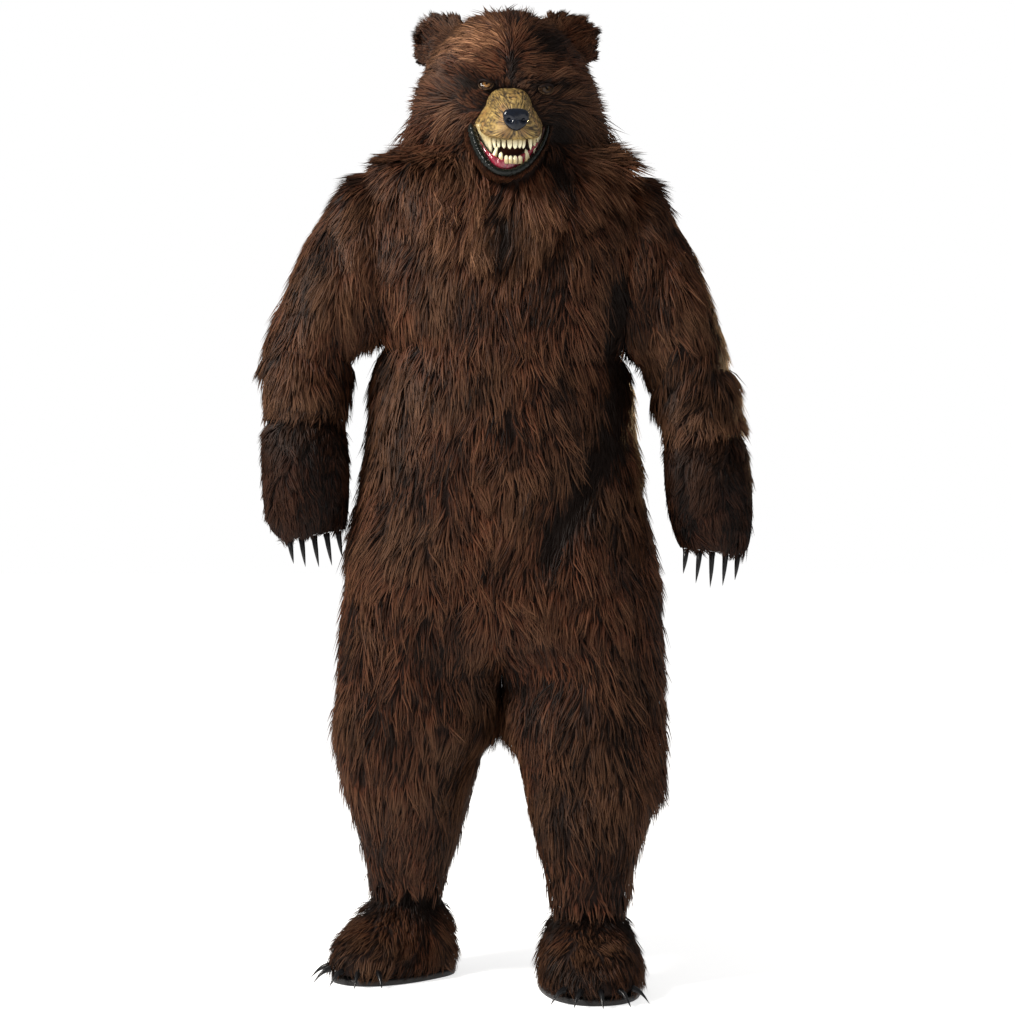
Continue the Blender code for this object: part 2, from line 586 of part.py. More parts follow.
def panel_points(z, turn, side, half, inset):
    """A jumpsuit panel's points: the torso's section above, the leg's below, blended over the fork."""
    leg_rows = LEG_ROWS_LEFT if side == "left" else LEG_ROWS_RIGHT
    torso_x, torso_y = torso_section(z, turn, side, half, inset)
    leg_x, leg_y = leg_section(z, turn, side, half, inset, leg_rows)
    leg_share = smooth_step(0.0, 1.0, (CROTCH_Z + FORK_RISE - z) / FORK_RISE)
    x = torso_x + (leg_x - torso_x) * leg_share
    y = torso_y + (leg_y - torso_y) * leg_share
    away_from_seams = np.sin(turn * math.pi) ** 0.5
    y_sign = -1 if half == "front" else 1
    y = y - y_sign * fold_depth(x, z, half) * away_from_seams
    return np.stack([x, y, z + 0 * x], axis=-1)


def jumpsuit_panels(side, half, collection):
    """One quarter of the jumpsuit: its body panel down to the hip seam, and its leg panel below."""
    leg_rows = LEG_ROWS_LEFT if side == "left" else LEG_ROWS_RIGHT
    turn = np.linspace(0, 1, PANEL_COLUMNS)[None, :]
    sign = -1 if side == "left" else 1
    y_sign = -1 if half == "front" else 1
    seam = np.array([sign * HALF_SEAM, y_sign * HALF_SEAM, 0.0])
    heights = {"": body_panel_rows(side), "leg_": leg_panel_rows(leg_rows)}
    for prefix, rows in heights.items():
        z = rows[:, None]
        outer = panel_points(z, turn, side, half, 0.0) + seam
        inner = panel_points(z, turn, side, half, CLOTH) + seam
        wall(prefix + half + "_" + side, outer, inner, "fur", collection)


def smooth_rows(rows, name, count):
    """Read a table's column at count even steps, on a curve through its rows (Catmull-Rom)."""
    values = column(rows, name)
    padded = np.concatenate([[2 * values[0] - values[1]], values, [2 * values[-1] - values[-2]]])
    place = np.linspace(0, len(values) - 1, count)
    start = np.minimum(place.astype(int), len(values) - 2)
    t = place - start
    a, b, c, d = (padded[start + k] for k in range(4))
    bend = (2 * a - 5 * b + 4 * c - d) * t ** 2 + (3 * b - a - 3 * c + d) * t ** 3
    return 0.5 * (2 * b + (c - a) * t + bend)


def limb_points(rows, count, turns, inset):
    """Elliptical rings of a sleeve or mitt.

    Each ring lies across the limb: its long axis joins the outer and inner side as seen from the
    front, and its other axis runs in depth. inset moves every ring in by the cloth's thickness.
    """
    names = ("out_x", "out_z", "in_x", "in_z", "mid", "half")
    out_x, out_z, in_x, in_z, mid, half = (smooth_rows(rows, name, count)[:, None] for name in names)
    centre_x = (out_x + in_x) / 2
    centre_z = (out_z + in_z) / 2
    reach_x = (out_x - in_x) / 2
    reach_z = (out_z - in_z) / 2
    length = np.hypot(reach_x, reach_z)
    share = (length - inset) / length
    x = centre_x + reach_x * share * np.cos(turns)
    y = mid - (half - inset) * np.sin(turns)
    z = centre_z + reach_z * share * np.cos(turns)
    return np.stack([x, y, z], axis=-1)


def sleeve(side, collection):
    """One sleeve, a tube from the armhole to an open cuff, creased inside the elbow."""
    hole = ARMHOLES[side]
    sign = -1 if side == "left" else 1
    start = {
        "out_x": hole["plane"] + sign * SEAM_GAP,
        "out_z": hole["z"] + hole["half_height"],
        "in_x": hole["plane"] + sign * SEAM_GAP,
        "in_z": hole["z"] - hole["half_height"],
        "mid": 0.0,
        "half": hole["half_depth"],
    }
    rows = [start] + SLEEVE_ROWS[side]
    count = SLEEVE_RINGS
    turns = np.linspace(0, 2 * math.pi, SLEEVE_COLUMNS, endpoint=False)[None, :]
    outer = limb_points(rows, count, turns, 0.0)
    inner = limb_points(rows, count, turns, CLOTH)
    crease = elbow_creases(count, turns)
    centre = outer.mean(axis=1, keepdims=True)
    for points in (outer, inner):
        away = points - centre
        points -= away / np.linalg.norm(away, axis=-1, keepdims=True) * crease[..., None]
    wall("sleeve_" + side, outer, inner, "fur", collection, closed=True)


def elbow_creases(count, turns):
    """Depth of the creases round a sleeve: troughs part of the way round, near the elbow."""
    along = np.linspace(0, 1, count)[:, None]
    depth = np.zeros((count, turns.shape[1]))
    for crease in SLEEVE_CREASES:
        near = np.exp(-((along - crease["along"]) / crease["width"]) ** 2)
        round_way = np.clip(np.cos(turns - math.radians(crease["turn"])), 0.0, 1.0) ** 2
        depth = np.maximum(depth, crease["depth"] * near * round_way)
    return depth


def mitt_half(side, half, name, finish, collection):
    """Half a mitt: the furred back of the hand in front, or the palm behind, with a flat end."""
    rows = MITT_ROWS[side]
    count = len(rows)
    y_sign = -1 if half == "front" else 1
    turns = -y_sign * np.linspace(0, math.pi, PANEL_COLUMNS)[None, :]
    outer = limb_points(rows, count, turns, 0.0)
    inner = limb_points(rows, count, turns, CLOTH)
    lift = CLOTH * np.linspace(0, 1, count) ** 3
    inner[..., 2] += lift[:, None]
    middle = rows[-1]["mid"]
    grids = []
    for points in (outer, inner):
        chord = points[-1:].copy()
        chord[..., 1] = middle
        grid = np.concatenate([points, chord])
        grid[..., 1] += y_sign * HALF_SEAM
        grids.append(grid)
    wall(name, grids[0], grids[1], finish, collection)


def claw(name, base, tip, across, away, collection):
    """A tapered, slightly bowed claw from a flat round base to a blunt point.

    across and away are the base's two directions, and the claw bows along away.
    """
    radii = CLAW_RADIUS * column(CLAW_RINGS, "size")
    turns = np.linspace(0, 2 * math.pi, CLAW_SIDES, endpoint=False)
    rings = []
    for step, radius in zip(column(CLAW_RINGS, "along"), radii):
        centre = base + (tip - base) * step + away * CLAW_BOW * math.sin(step * math.pi)
        ring = np.outer(np.cos(turns), across) + np.outer(np.sin(turns), away)
        rings.append(centre + ring * radius)
    loft(name, np.array(rings), "claw", collection)


def mitt_claws(side, collection):
    """Five claws on the flat finger end of a mitt."""
    end = MITT_ROWS[side][-1]
    outer_end = np.array([end["out_x"], end["mid"], end["out_z"]])
    inner_end = np.array([end["in_x"], end["mid"], end["in_z"]])
    along = (inner_end - outer_end) / np.linalg.norm(inner_end - outer_end)
    out = np.array([0.0, 1.0, 0.0])
    down = np.cross(along, out)
    down = down if down[2] < 0 else -down
    for number, row in enumerate(MITT_CLAWS[side], start=1):
        base = outer_end + (inner_end - outer_end) * row["along"] + down * SEAM_GAP
        tip = base + np.array([row["dx"], -MITT_CLAW_LEAN, row["dz"]])
        claw(f"mitt_claw_{side}_{number}", base, tip, along, -out, collection)


def foot_ring(foot, front, back, half, height, turns):
    """One level ring of a foot cover: an egg-shaped outline, longer in front, turned with the toes."""
    cosine = np.cos(turns)
    sine = np.sin(turns)
    ahead = np.where(cosine > 0, front, back) * np.sign(cosine) * np.abs(cosine) ** FOOT_SQUARENESS
    aside = half * np.sign(sine) * np.abs(sine) ** FOOT_SQUARENESS
    toes = math.radians(foot["toes"])
    x = foot["x"] + ahead * math.sin(toes) + aside * math.cos(toes)
    y = foot["y"] - ahead * math.cos(toes) + aside * math.sin(toes)
    return np.stack([x, y, np.full_like(x, FLOOR + height)], axis=-1)


def foot_points(foot, inset):
    """Rings of a foot cover's upper from the sole to the top of its shaft inside the leg."""
    turns = np.linspace(0, 2 * math.pi, FOOT_COLUMNS, endpoint=False)
    rings = []
    for row in FOOT_ROWS:
        rings.append(foot_ring(
            foot, row["front"] - inset, row["back"] - inset, row["half"] - inset, row["height"], turns,
        ))
    hem_height = foot["hem"] - FLOOR
    radius = SHAFT_RADIUS - inset
    for step in SHAFT_STEPS:
        x = foot["x"] + radius * np.sin(turns + math.radians(foot["toes"]))
        y = foot["y"] - radius * np.cos(turns + math.radians(foot["toes"]))
        rings.append(np.stack([x, y, np.full_like(x, FLOOR + hem_height + step)], axis=-1))
    return np.array(rings)


def foot_cover(side, collection):
    """A foot cover: its furred upper, its sole and five toe claws."""
    foot = FEET[side]
    outer = foot_points(foot, 0.0)
    wall("foot_" + side, outer, foot_points(foot, CLOTH), "dark_fur", collection, closed=True)
    turns = np.linspace(0, 2 * math.pi, 2 * FOOT_COLUMNS, endpoint=False)
    low = FOOT_ROWS[0]
    outline = [low[name] + SOLE_EDGE for name in ("front", "back", "half")]
    levels = [foot_ring(foot, *outline, height, turns) for height in (0.0, SOLE_THICKNESS)]
    loft("sole_" + side, np.array(levels), "black_hide", collection)
    step = 360 / FOOT_COLUMNS
    for number, turn in enumerate(TOE_TURNS, start=1):
        index = round(turn / step) % FOOT_COLUMNS
        point = outer[TOE_ROW, index]
        neighbours = outer[TOE_ROW, (index + 1) % FOOT_COLUMNS] - outer[TOE_ROW, index - 1]
        across = neighbours / np.linalg.norm(neighbours)
        out = np.array([-across[1], across[0], 0.0])
        centre = np.array([foot["x"], foot["y"], point[2]])
        out = out if np.dot(out, point - centre) > 0 else -out
        base = point + out * SEAM_GAP
        tip = base + out * TOE_REACH
        tip[2] = FLOOR + TOE_TIP_HEIGHT
        claw(f"toe_claw_{side}_{number}", base, tip, across, np.array([0.0, 0.0, 1.0]), collection)


def head_reach(z, name, inset=0.0):
    """Half width or depth of the mask at heights z."""
    return np.clip(spread(HEAD_ROWS, name, "z", z) - inset, 0.0, None)


def head_front(x, z):
    """How far forward the mask's face is, for points seen from the front."""
    across = np.clip(np.abs(x - HEAD_X) / head_reach(z, "half"), 0.0, 0.98)
    return head_reach(z, "front") * np.sqrt(1 - across ** 2)


def mask_half(side, collection):
    """Half of the mask's fur shell, open at the neck and closed at the crown."""
    sign = -1 if side == "left" else 1
    low = HEAD_ROWS[0]["z"]
    crown = HEAD_ROWS[-1]["z"]
    rise = np.sin(np.linspace(0, math.pi / 2, MASK_LEVELS))
    turns = np.linspace(0, math.pi, MASK_COLUMNS)[None, :]
    grids = []
    for inset in (0.0, CLOTH):
        z = (low + (crown - low) * rise)[:, None]
        half = head_reach(z, "half", inset * (1 - rise[:, None]))
        wide = np.maximum(half - inset * rise[:, None], 0.0)
        wide[-1] = 0.0
        x = HEAD_X + sign * (wide * np.sin(turns) + HALF_SEAM)
        depth = np.where(np.cos(turns) > 0, head_reach(z, "front", inset), head_reach(z, "back", inset))
        depth[-1] = 0.0
        y = -depth * np.cos(turns)
        lowered = z - inset * rise[:, None] ** 3
        grids.append(np.stack([x, y, lowered + 0 * x], axis=-1))
    wall("mask_" + side, grids[0], grids[1], "fur", collection, capped=True)


def ear(side, collection):
    """A cupped ear: a wall from the mask's side out to a round rim, hollow in front."""
    place = EARS[side]
    sign = -1 if side == "left" else 1
    along = np.linspace(0, 1, EAR_COLUMNS)[:, None]
    out = np.linspace(0, 1, EAR_ROWS)[None, :]
    z = place["top"] + (place["low"] - place["top"]) * along
    grids = []
    for depth in (-EAR_CLOTH / 2, EAR_CLOTH / 2):
        y = EAR_DEPTH + depth
        across = 1 - (y / head_reach(z, "back")) ** 2
        foot_x = head_reach(z, "half") * np.sqrt(np.clip(across, 0.05, 1.0)) + EAR_LIFT
        round_way = math.pi * (EAR_CORNER + (1 - 2 * EAR_CORNER) * along)
        height = place["reach"] * np.sin(round_way) ** EAR_ROUNDNESS
        tilt = math.radians(place["tilt"])
        spread_out = (along - 0.5) * EAR_FLARE * out
        x = foot_x + height * out * math.cos(tilt) + spread_out * math.sin(tilt)
        rise = height * out * math.sin(tilt) - spread_out * math.cos(tilt)
        cup = EAR_CUP * np.sin(math.pi * along) * out * (EAR_CUP_REACH - out)
        thin = 1 - EAR_RIM_THINNING * out ** 3
        points_y = EAR_DEPTH + depth * thin + cup
        grids.append(np.stack([HEAD_X + sign * x, points_y, z + rise], axis=-1))
    wall("ear_" + side, grids[0], grids[1], "fur", collection)


def face_point(aside, ahead, z):
    """Points given in the face's own frame: aside to the viewer's right, ahead out of the face."""
    yaw = math.radians(FACE_YAW)
    x = FACE_X + aside * math.cos(yaw) + ahead * math.sin(yaw)
    y = aside * math.sin(yaw) - ahead * math.cos(yaw)
    return np.stack(np.broadcast_arrays(x, y, z), axis=-1)


def face_seat(aside, z, clearance):
    """How far ahead a point has to be to lie on the mask, or on the ruff below it."""
    ahead = np.full(np.broadcast(aside, z).shape, FACE_DEPTH)
    low = HEAD_ROWS[0]["z"]
    yaw = math.radians(FACE_YAW)
    for _ in range(FACE_SEAT_STEPS):
        x = face_point(aside, ahead, z)[..., 0]
        ahead = (head_front(x, np.maximum(z, low)) + aside * math.sin(yaw)) / math.cos(yaw)
    slope = RUFF_SLOPE + RUFF_SLOPE_GROWTH * aside ** 2
    below = np.clip(low - z, 0.0, None)
    step = RUFF_STEP * np.minimum(below / RUFF_STEP_REACH, 1.0)
    return ahead + clearance + below * slope + step


def muzzle_row(t, name):
    """Half width, top or bottom of the muzzle at share t of its length."""
    return spread(MUZZLE_ROWS, name, "along", t)


def muzzle_ring(t, angle, inset):
    """Section of the muzzle: a narrow bridge with a flat top above full jowls, softly blended."""
    half = muzzle_row(t, "half") - inset
    top = muzzle_row(t, "top") - inset
    bottom = muzzle_row(t, "bottom") + inset
    sine, cosine = np.sin(angle), np.cos(angle)
    full = sine * (1 - MUZZLE_CHEEK * cosine)
    narrow = MUZZLE_BRIDGE * np.sign(sine) * np.abs(sine) ** MUZZLE_SQUARENESS
    raised = np.clip((cosine + MUZZLE_BLEND) / (2 * MUZZLE_BLEND), 0.0, 1.0)
    aside = half * (full + (narrow - full) * raised * raised * (3 - 2 * raised))
    return aside, (top + bottom) / 2 + (top - bottom) / 2 * cosine


def muzzle(collection):
    """The moulded muzzle, a hollow form from the mask's face to a flat end behind the nose."""
    t = np.linspace(0, 1, MUZZLE_RINGS)[:, None]
    angle = np.linspace(0, 2 * math.pi, MUZZLE_COLUMNS, endpoint=False)[None, :]
    grids = []
    for inset in (0.0, MUZZLE_WALL):
        aside, z = muzzle_ring(t, angle, inset)
        start = face_seat(aside, z, SEAM_GAP)
        ahead = start + (MUZZLE_END - inset - start) * t ** MUZZLE_SPREAD
        points = face_point(aside, ahead, z)
        centre = np.broadcast_to(points[-1:].mean(axis=1, keepdims=True), points[-1:].shape)
        grids.append(np.concatenate([points, centre]))
    wall("muzzle", grids[0], grids[1], "muzzle", collection, closed=True, capped=True)


def nose(collection):
    """The nose on the muzzle's end, a rounded block that is wider at its top."""
    angle = np.linspace(0, 2 * math.pi, NOSE_COLUMNS, endpoint=False)[None, :]
    steps = column(NOSE_RINGS, "along")[:, None]
    size = column(NOSE_RINGS, "size")[:, None]
    width = NOSE_HALF_WIDTH * (NOSE_WIDTH_LOW + NOSE_WIDTH_GROWTH * np.cos(angle))
    aside = width * size * np.sin(angle)
    z = NOSE_Z + NOSE_HALF_HEIGHT * size * np.cos(angle)
    ahead = MUZZLE_END + SEAM_GAP + NOSE_DEPTH * steps + 0 * angle
    loft("nose", face_point(aside, ahead, z), "nose", collection)


def eye(side, collection):
    """An eye: a shallow dome on the mask's face."""
    place = EYES[side]
    angle = np.linspace(0, 2 * math.pi, EYE_COLUMNS, endpoint=False)[None, :]
    steps = column(EYE_RINGS, "along")[:, None]
    size = column(EYE_RINGS, "size")[:, None]
    reach_x = EYE_HALF_WIDTH * np.cos(angle)
    reach_z = EYE_HALF_HEIGHT * np.sin(angle)
    x = place["x"] + reach_x * size
    z = place["z"] + reach_z * size
    edge = head_front(place["x"] + reach_x, place["z"] + reach_z)
    y = -(edge + SEAM_GAP) - EYE_DEPTH * steps
    loft("eye_" + side, np.stack([x, y + 0 * x, z], axis=-1), "eye", collection)


def jaw_curve(turn, inward):
    """The lower lip's line, from the left mouth corner down round the chin to the right corner.

    The reach aside goes as the cosine of the turn, the way ahead as its sine, and the drop as a
    power of its sine. inward moves the line into the mouth.
    """
    sine = np.sin(turn)
    aside = -(MOUTH_HALF - inward) * np.cos(turn) + JAW_SHIFT * sine ** 2
    ahead = MOUTH_BACK + (JAW_REACH - inward) * sine
    z = MOUTH_CORNER_Z - (JAW_DROP - inward) * sine ** JAW_SQUARENESS
    return aside, ahead, z


def upper_curve(turn, inward):
    """The upper lip's line under the muzzle, between the same two corners."""
    sine = np.sin(turn)
    aside = -(UPPER_HALF - inward) * np.cos(turn)
    ahead = MOUTH_BACK + (UPPER_REACH - inward) * sine
    return aside, ahead


def lips(collection):
    """The glossy lower lip, a round rope along the jaw's line."""
    turn = np.linspace(LIP_START, math.pi - LIP_START, LIP_RINGS)
    centre = face_point(*jaw_curve(turn, 0.0))
    ahead_way = np.gradient(centre, axis=0)
    ahead_way /= np.linalg.norm(ahead_way, axis=-1, keepdims=True)
    side_way = np.cross(ahead_way, np.array([0.0, 1.0, 0.0]))
    side_way /= np.linalg.norm(side_way, axis=-1, keepdims=True)
    up_way = np.cross(side_way, ahead_way)
    angle = np.linspace(0, 2 * math.pi, LIP_SIDES, endpoint=False)[None, :, None]
    ring = np.cos(angle) * side_way[:, None, :] + np.sin(angle) * up_way[:, None, :]
    loft("lips", centre[:, None, :] + LIP_RADIUS * ring, "lip", collection)


def chin(collection):
    """The furred lower jaw: a trough from the lip back to the neck."""
    turn = np.linspace(CHIN_START, math.pi - CHIN_START, JAW_COLUMNS)[:, None]
    share = np.linspace(0, 1, CHIN_ROWS)[None, :]
    grids = []
    lip_line = np.concatenate(jaw_curve(turn, 0.0), axis=1)
    lip_way = np.gradient(lip_line, axis=0)
    lip_way /= np.linalg.norm(lip_way, axis=1, keepdims=True)
    behind = (LIP_RADIUS + 2 * SEAM_GAP) / np.sqrt(1 - lip_way[:, 1:2] ** 2)
    for inward in (-CHIN_CLOTH / 2, CHIN_CLOTH / 2):
        aside, _, z = jaw_curve(turn, inward)
        back = face_seat(aside, z, 2 * SEAM_GAP)
        front = np.maximum(lip_line[:, 1:2] - behind, back + CHIN_LEAST_DEPTH)
        grids.append(face_point(aside, back + (front - back) * share, z))
    wall("chin", grids[0], grids[1], "fur", collection)


def tooth_lengths(turn, teeth):
    """Length of a row of teeth along the jaw: even humps, longest at the two canines."""
    hump = np.abs(np.sin(teeth["humps"] * turn)) ** TOOTH_SQUARENESS
    from_middle = np.abs(turn - math.pi / 2)
    length = np.where(from_middle < teeth["canine_turn"], teeth["front"], teeth["side"])
    near_canine = np.exp(-((from_middle - teeth["canine_turn"]) / CANINE_WIDTH) ** 2)
    return (TOOTH_ROOT + (1 - TOOTH_ROOT) * hump) * length + (teeth["canine"] - length) * near_canine


def teeth_upper(collection):
    """The upper teeth, one curved strip that hangs from the muzzle's underside."""
    turn = np.linspace(UPPER_TEETH_START, math.pi - UPPER_TEETH_START, UPPER_TEETH_COLUMNS)[:, None]
    share = np.linspace(0, 1, 2)[None, :]
    length = tooth_lengths(turn, UPPER_TEETH)
    middle = sum(UPPER_TEETH_FACES) / 2
    grids = []
    for inward in UPPER_TEETH_FACES:
        aside, ahead = upper_curve(turn, inward)
        start = face_seat(aside, MOUTH_CORNER_Z, SEAM_GAP)
        along = np.clip((ahead - start) / (MUZZLE_END - start), 0.0, 1.0) ** (1 / MUZZLE_SPREAD)
        top = muzzle_row(along, "bottom") - SEAM_GAP
        lean = (inward - middle) * UPPER_TEETH_LEAN * share
        grids.append(face_point(aside, ahead + lean, top - length * share))
    wall("teeth_upper", grids[0], grids[1], "tooth", collection)


def gum_and_lower_teeth(collection):
    """The lower gum, a band in the jaw's trough, and the row of teeth on top of it."""
    turn = np.linspace(GUM_START, math.pi - GUM_START, JAW_COLUMNS)[:, None]
    clear = CHIN_CLOTH / 2 + 2 * SEAM_GAP
    share = np.linspace(0, 1, 2)[None, :]
    grids = []
    for inward in (clear, clear + GUM_CLOTH):
        aside, ahead, z = jaw_curve(turn, inward)
        grids.append(face_point(aside, ahead, z + GUM_HEIGHT * np.sin(turn) * share))
    wall("gum", grids[0], grids[1], "gum", collection)
    turn = np.linspace(GUM_START, math.pi - GUM_START, LOWER_TEETH_COLUMNS)[:, None]
    length = tooth_lengths(turn, LOWER_TEETH)
    grids = []
    for inward in LOWER_TEETH_FACES:
        aside, ahead, _ = jaw_curve(turn, clear + inward)
        root = jaw_curve(turn, clear + GUM_CLOTH)[2] + GUM_HEIGHT * np.sin(turn) + 2 * SEAM_GAP
        grids.append(face_point(aside, ahead, root + length * share))
    wall("teeth_lower", grids[0], grids[1], "tooth", collection)


def mouth_lining(collection):
    """The dark lining behind the teeth, a sheet hollowed backwards from the muzzle to the jaw."""
    turn = np.linspace(CHIN_START, math.pi - CHIN_START, JAW_COLUMNS)[:, None]
    share = np.linspace(0, 1, LINING_ROWS)[None, :]
    sine = np.sin(turn)
    top_aside = -LINING_TOP["half"] * np.cos(turn)
    top_ahead = LINING_TOP["ahead"] + LINING_TOP["reach"] * sine
    top_z = LINING_TOP["z"] - LINING_TOP["drop"] * sine
    low_aside, low_ahead, low_z = jaw_curve(turn, CHIN_CLOTH / 2 + 2 * SEAM_GAP)
    low_ahead = low_ahead - LINING_BACK * sine
    grids = []
    for back in (0.0, LINING_CLOTH):
        aside = top_aside + (low_aside - top_aside) * share
        ahead = top_ahead + (low_ahead - top_ahead) * share
        z = top_z + (low_z - top_z) * share
        hollow = LINING_HOLLOW * np.sin(math.pi * share) * sine
        grids.append(face_point(aside, ahead - hollow - back, z))
    wall("mouth_lining", grids[0], grids[1], "mouth", collection)


def ruff(collection):
    """The mask's fur skirt: from the mask's open end out over the shoulders to a hem on the chest.

    Its hem lies on the jumpsuit panels' own points, moved out, lowest at the front and back.
    """
    steps = np.arange(PANEL_COLUMNS - 1) / (PANEL_COLUMNS - 1)
    quarters = [
        ("left", "front", steps), ("left", "back", 1 - steps),
        ("right", "back", steps), ("right", "front", 1 - steps),
    ]
    share = np.linspace(0, 1, RUFF_ROWS)[:, None]
    top_z = HEAD_ROWS[0]["z"] - SEAM_GAP
    outer_parts = []
    inner_parts = []
    for side, half, turn in quarters:
        sign = -1 if side == "left" else 1
        y_sign = -1 if half == "front" else 1
        turn = turn[None, :]
        hem_z = RUFF_SIDE_HEM - RUFF_DROP[half] * np.cos(turn * math.pi / 2) ** 2
        z = top_z + (hem_z - top_z) * share
        body = panel_points(z, turn, side, half, 0.0)
        away = body[-1:, :, :2] - np.array([CENTRE_X, 0.0])
        away /= np.linalg.norm(away, axis=-1, keepdims=True)
        angle = turn * math.pi / 2
        belly = RUFF_BELLY * np.sin(math.pi * share) * turn
        stand_off = RUFF_STAND_OFF * turn ** 3 * share ** 2
        clear = 2 * SEAM_GAP + RUFF_CLEARANCE * np.sin(math.pi * share) + stand_off
        for parts, inset in ((outer_parts, 0.0), (inner_parts, 1.0)):
            thickness = (CLOTH + (RUFF_CLOTH - CLOTH) * share) * (1 - inset)
            top_x = HEAD_X + sign * head_reach(top_z, "half", CLOTH * inset) * np.sin(angle)
            top_y = y_sign * head_reach(top_z, half, CLOTH * inset) * np.cos(angle)
            over = clear + thickness
            hem_x = body[-1:, :, 0] + away[..., 0] * over
            hem_y = body[-1:, :, 1] + away[..., 1] * over
            x = top_x + (hem_x - top_x) * share + away[..., 0] * belly
            y = top_y + (hem_y - top_y) * share + away[..., 1] * belly
            reach = np.hypot(x - CENTRE_X, y)
            over_x = body[..., 0] + away[..., 0] * over - CENTRE_X
            over_y = body[..., 1] + away[..., 1] * over
            needed = np.where(share > 0, np.hypot(over_x, over_y), 0.0)
            grow = np.maximum(needed / reach, 1.0)
            parts.append(np.stack([CENTRE_X + (x - CENTRE_X) * grow, y * grow, z + 0 * x], axis=-1))
    outer = np.concatenate(outer_parts, axis=1)
    inner = np.concatenate(inner_parts, axis=1)
    wall("ruff", outer, inner, "fur", collection, closed=True)


def build():
    """Make every piece of the costume."""
    clear_scene()
    collection = new_collection(COLLECTION_NAME)
    for side in ("left", "right"):
        jumpsuit_panels(side, "front", collection)
        jumpsuit_panels(side, "back", collection)
        sleeve(side, collection)
        mitt_half(side, "front", "mitt_" + side, "dark_fur", collection)
        mitt_half(side, "back", "palm_" + side, "black_hide", collection)
        mitt_claws(side, collection)
        foot_cover(side, collection)
        mask_half(side, collection)
        ear(side, collection)
        eye(side, collection)
    ruff(collection)
    muzzle(collection)
    nose(collection)
    chin(collection)
    lips(collection)
    gum_and_lower_teeth(collection)
    teeth_upper(collection)
    mouth_lining(collection)
    print(len(collection.objects), "pieces")


build()
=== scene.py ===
# %% [markdown]
# # A bear costume
# The costume is a jumpsuit of long-pile fur cloth with mitts, foot covers and a mask. The solids
# that were packed for it hold its true size, so each piece here is worked out from the same
# sections, a little finer, and takes the place of its solid.

# %% The frame
import itertools
import math

import bmesh
import bpy
import numpy as np
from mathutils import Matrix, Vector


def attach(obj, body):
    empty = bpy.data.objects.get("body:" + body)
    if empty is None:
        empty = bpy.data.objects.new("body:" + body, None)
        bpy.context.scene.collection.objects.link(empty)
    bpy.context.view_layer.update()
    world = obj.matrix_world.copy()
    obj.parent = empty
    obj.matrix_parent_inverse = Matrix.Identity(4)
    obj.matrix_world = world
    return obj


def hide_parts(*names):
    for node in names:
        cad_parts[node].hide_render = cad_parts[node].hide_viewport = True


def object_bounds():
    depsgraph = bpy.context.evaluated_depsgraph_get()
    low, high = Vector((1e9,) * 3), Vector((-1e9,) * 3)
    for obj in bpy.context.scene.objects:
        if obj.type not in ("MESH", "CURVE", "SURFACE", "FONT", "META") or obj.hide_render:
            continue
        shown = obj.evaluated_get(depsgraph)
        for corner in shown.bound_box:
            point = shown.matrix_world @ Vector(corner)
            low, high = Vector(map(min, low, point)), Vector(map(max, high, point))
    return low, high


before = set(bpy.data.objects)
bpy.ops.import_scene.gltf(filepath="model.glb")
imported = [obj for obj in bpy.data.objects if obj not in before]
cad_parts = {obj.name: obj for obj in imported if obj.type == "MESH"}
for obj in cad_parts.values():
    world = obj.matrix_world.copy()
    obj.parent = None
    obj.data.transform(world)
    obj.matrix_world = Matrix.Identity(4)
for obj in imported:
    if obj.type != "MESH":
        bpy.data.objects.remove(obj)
cad_low, cad_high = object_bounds()
rng = np.random.default_rng(7)
FLOOR = cad_low[2]
print("frame from", [round(v, 3) for v in cad_low], "to", [round(v, 3) for v in cad_high])

# %% [markdown]
# ## Camera, floor and light
# The costume was photographed from five metres away at hip height. A long lens keeps the head and
# the feet in proportion. The studio is white all round, with one large soft light from the upper
# left, a weaker one from the right and a small warm one from behind on the right, whose light
# catches the tips of the pile along the sleeve. Seen from that side it turns the sleeve orange.

# %% Camera and studio
IMAGE_SIDE = 1015
METRES_PER_PIXEL = 0.00194
CAMERA_DISTANCE = 5.0
ORIGIN_PIXEL = (508.0, 165.0)
SENSOR = 36.0

scene = bpy.context.scene
scene.view_settings.view_transform = "Standard"
camera_data = bpy.data.cameras.new("camera")
camera_data.sensor_width = SENSOR
camera_data.lens = SENSOR * CAMERA_DISTANCE / (IMAGE_SIDE * METRES_PER_PIXEL)
camera = bpy.data.objects.new("camera", camera_data)
camera.location = (
    (IMAGE_SIDE / 2 - ORIGIN_PIXEL[0]) * METRES_PER_PIXEL,
    -CAMERA_DISTANCE,
    (ORIGIN_PIXEL[1] - IMAGE_SIDE / 2) * METRES_PER_PIXEL,
)
camera.rotation_euler = (math.pi / 2, 0, 0)
scene.collection.objects.link(camera)
scene.camera = camera


def area_light(name, place, target, size, power, colour, spread=180.0):
    """A square soft light at one place that faces another."""
    data = bpy.data.lights.new(name, "AREA")
    data.size, data.energy, data.color, data.spread = size, power, colour, math.radians(spread)
    light = bpy.data.objects.new(name, data)
    way = np.array(place) - np.array(target)
    light.location = place
    light.rotation_euler = (math.atan2(math.hypot(way[0], way[1]), way[2]), 0, math.atan2(way[0], -way[1]))
    scene.collection.objects.link(light)


CHEST = (0.0, 0.0, -0.5)
area_light("key", (-3.0, -2.0, 2.0), (0.0, 0.0, -0.3), 1.3, 290, (1.0, 0.955, 0.90))
area_light("fill", (2.2, -4.2, 0.2), CHEST, 2.4, 20, (1.0, 0.96, 0.92))
area_light("rim", (2.9, 2.7, -0.28), (0.45, 0.02, -0.26), 0.3, 2, (1.0, 0.70, 0.36), 9.0)

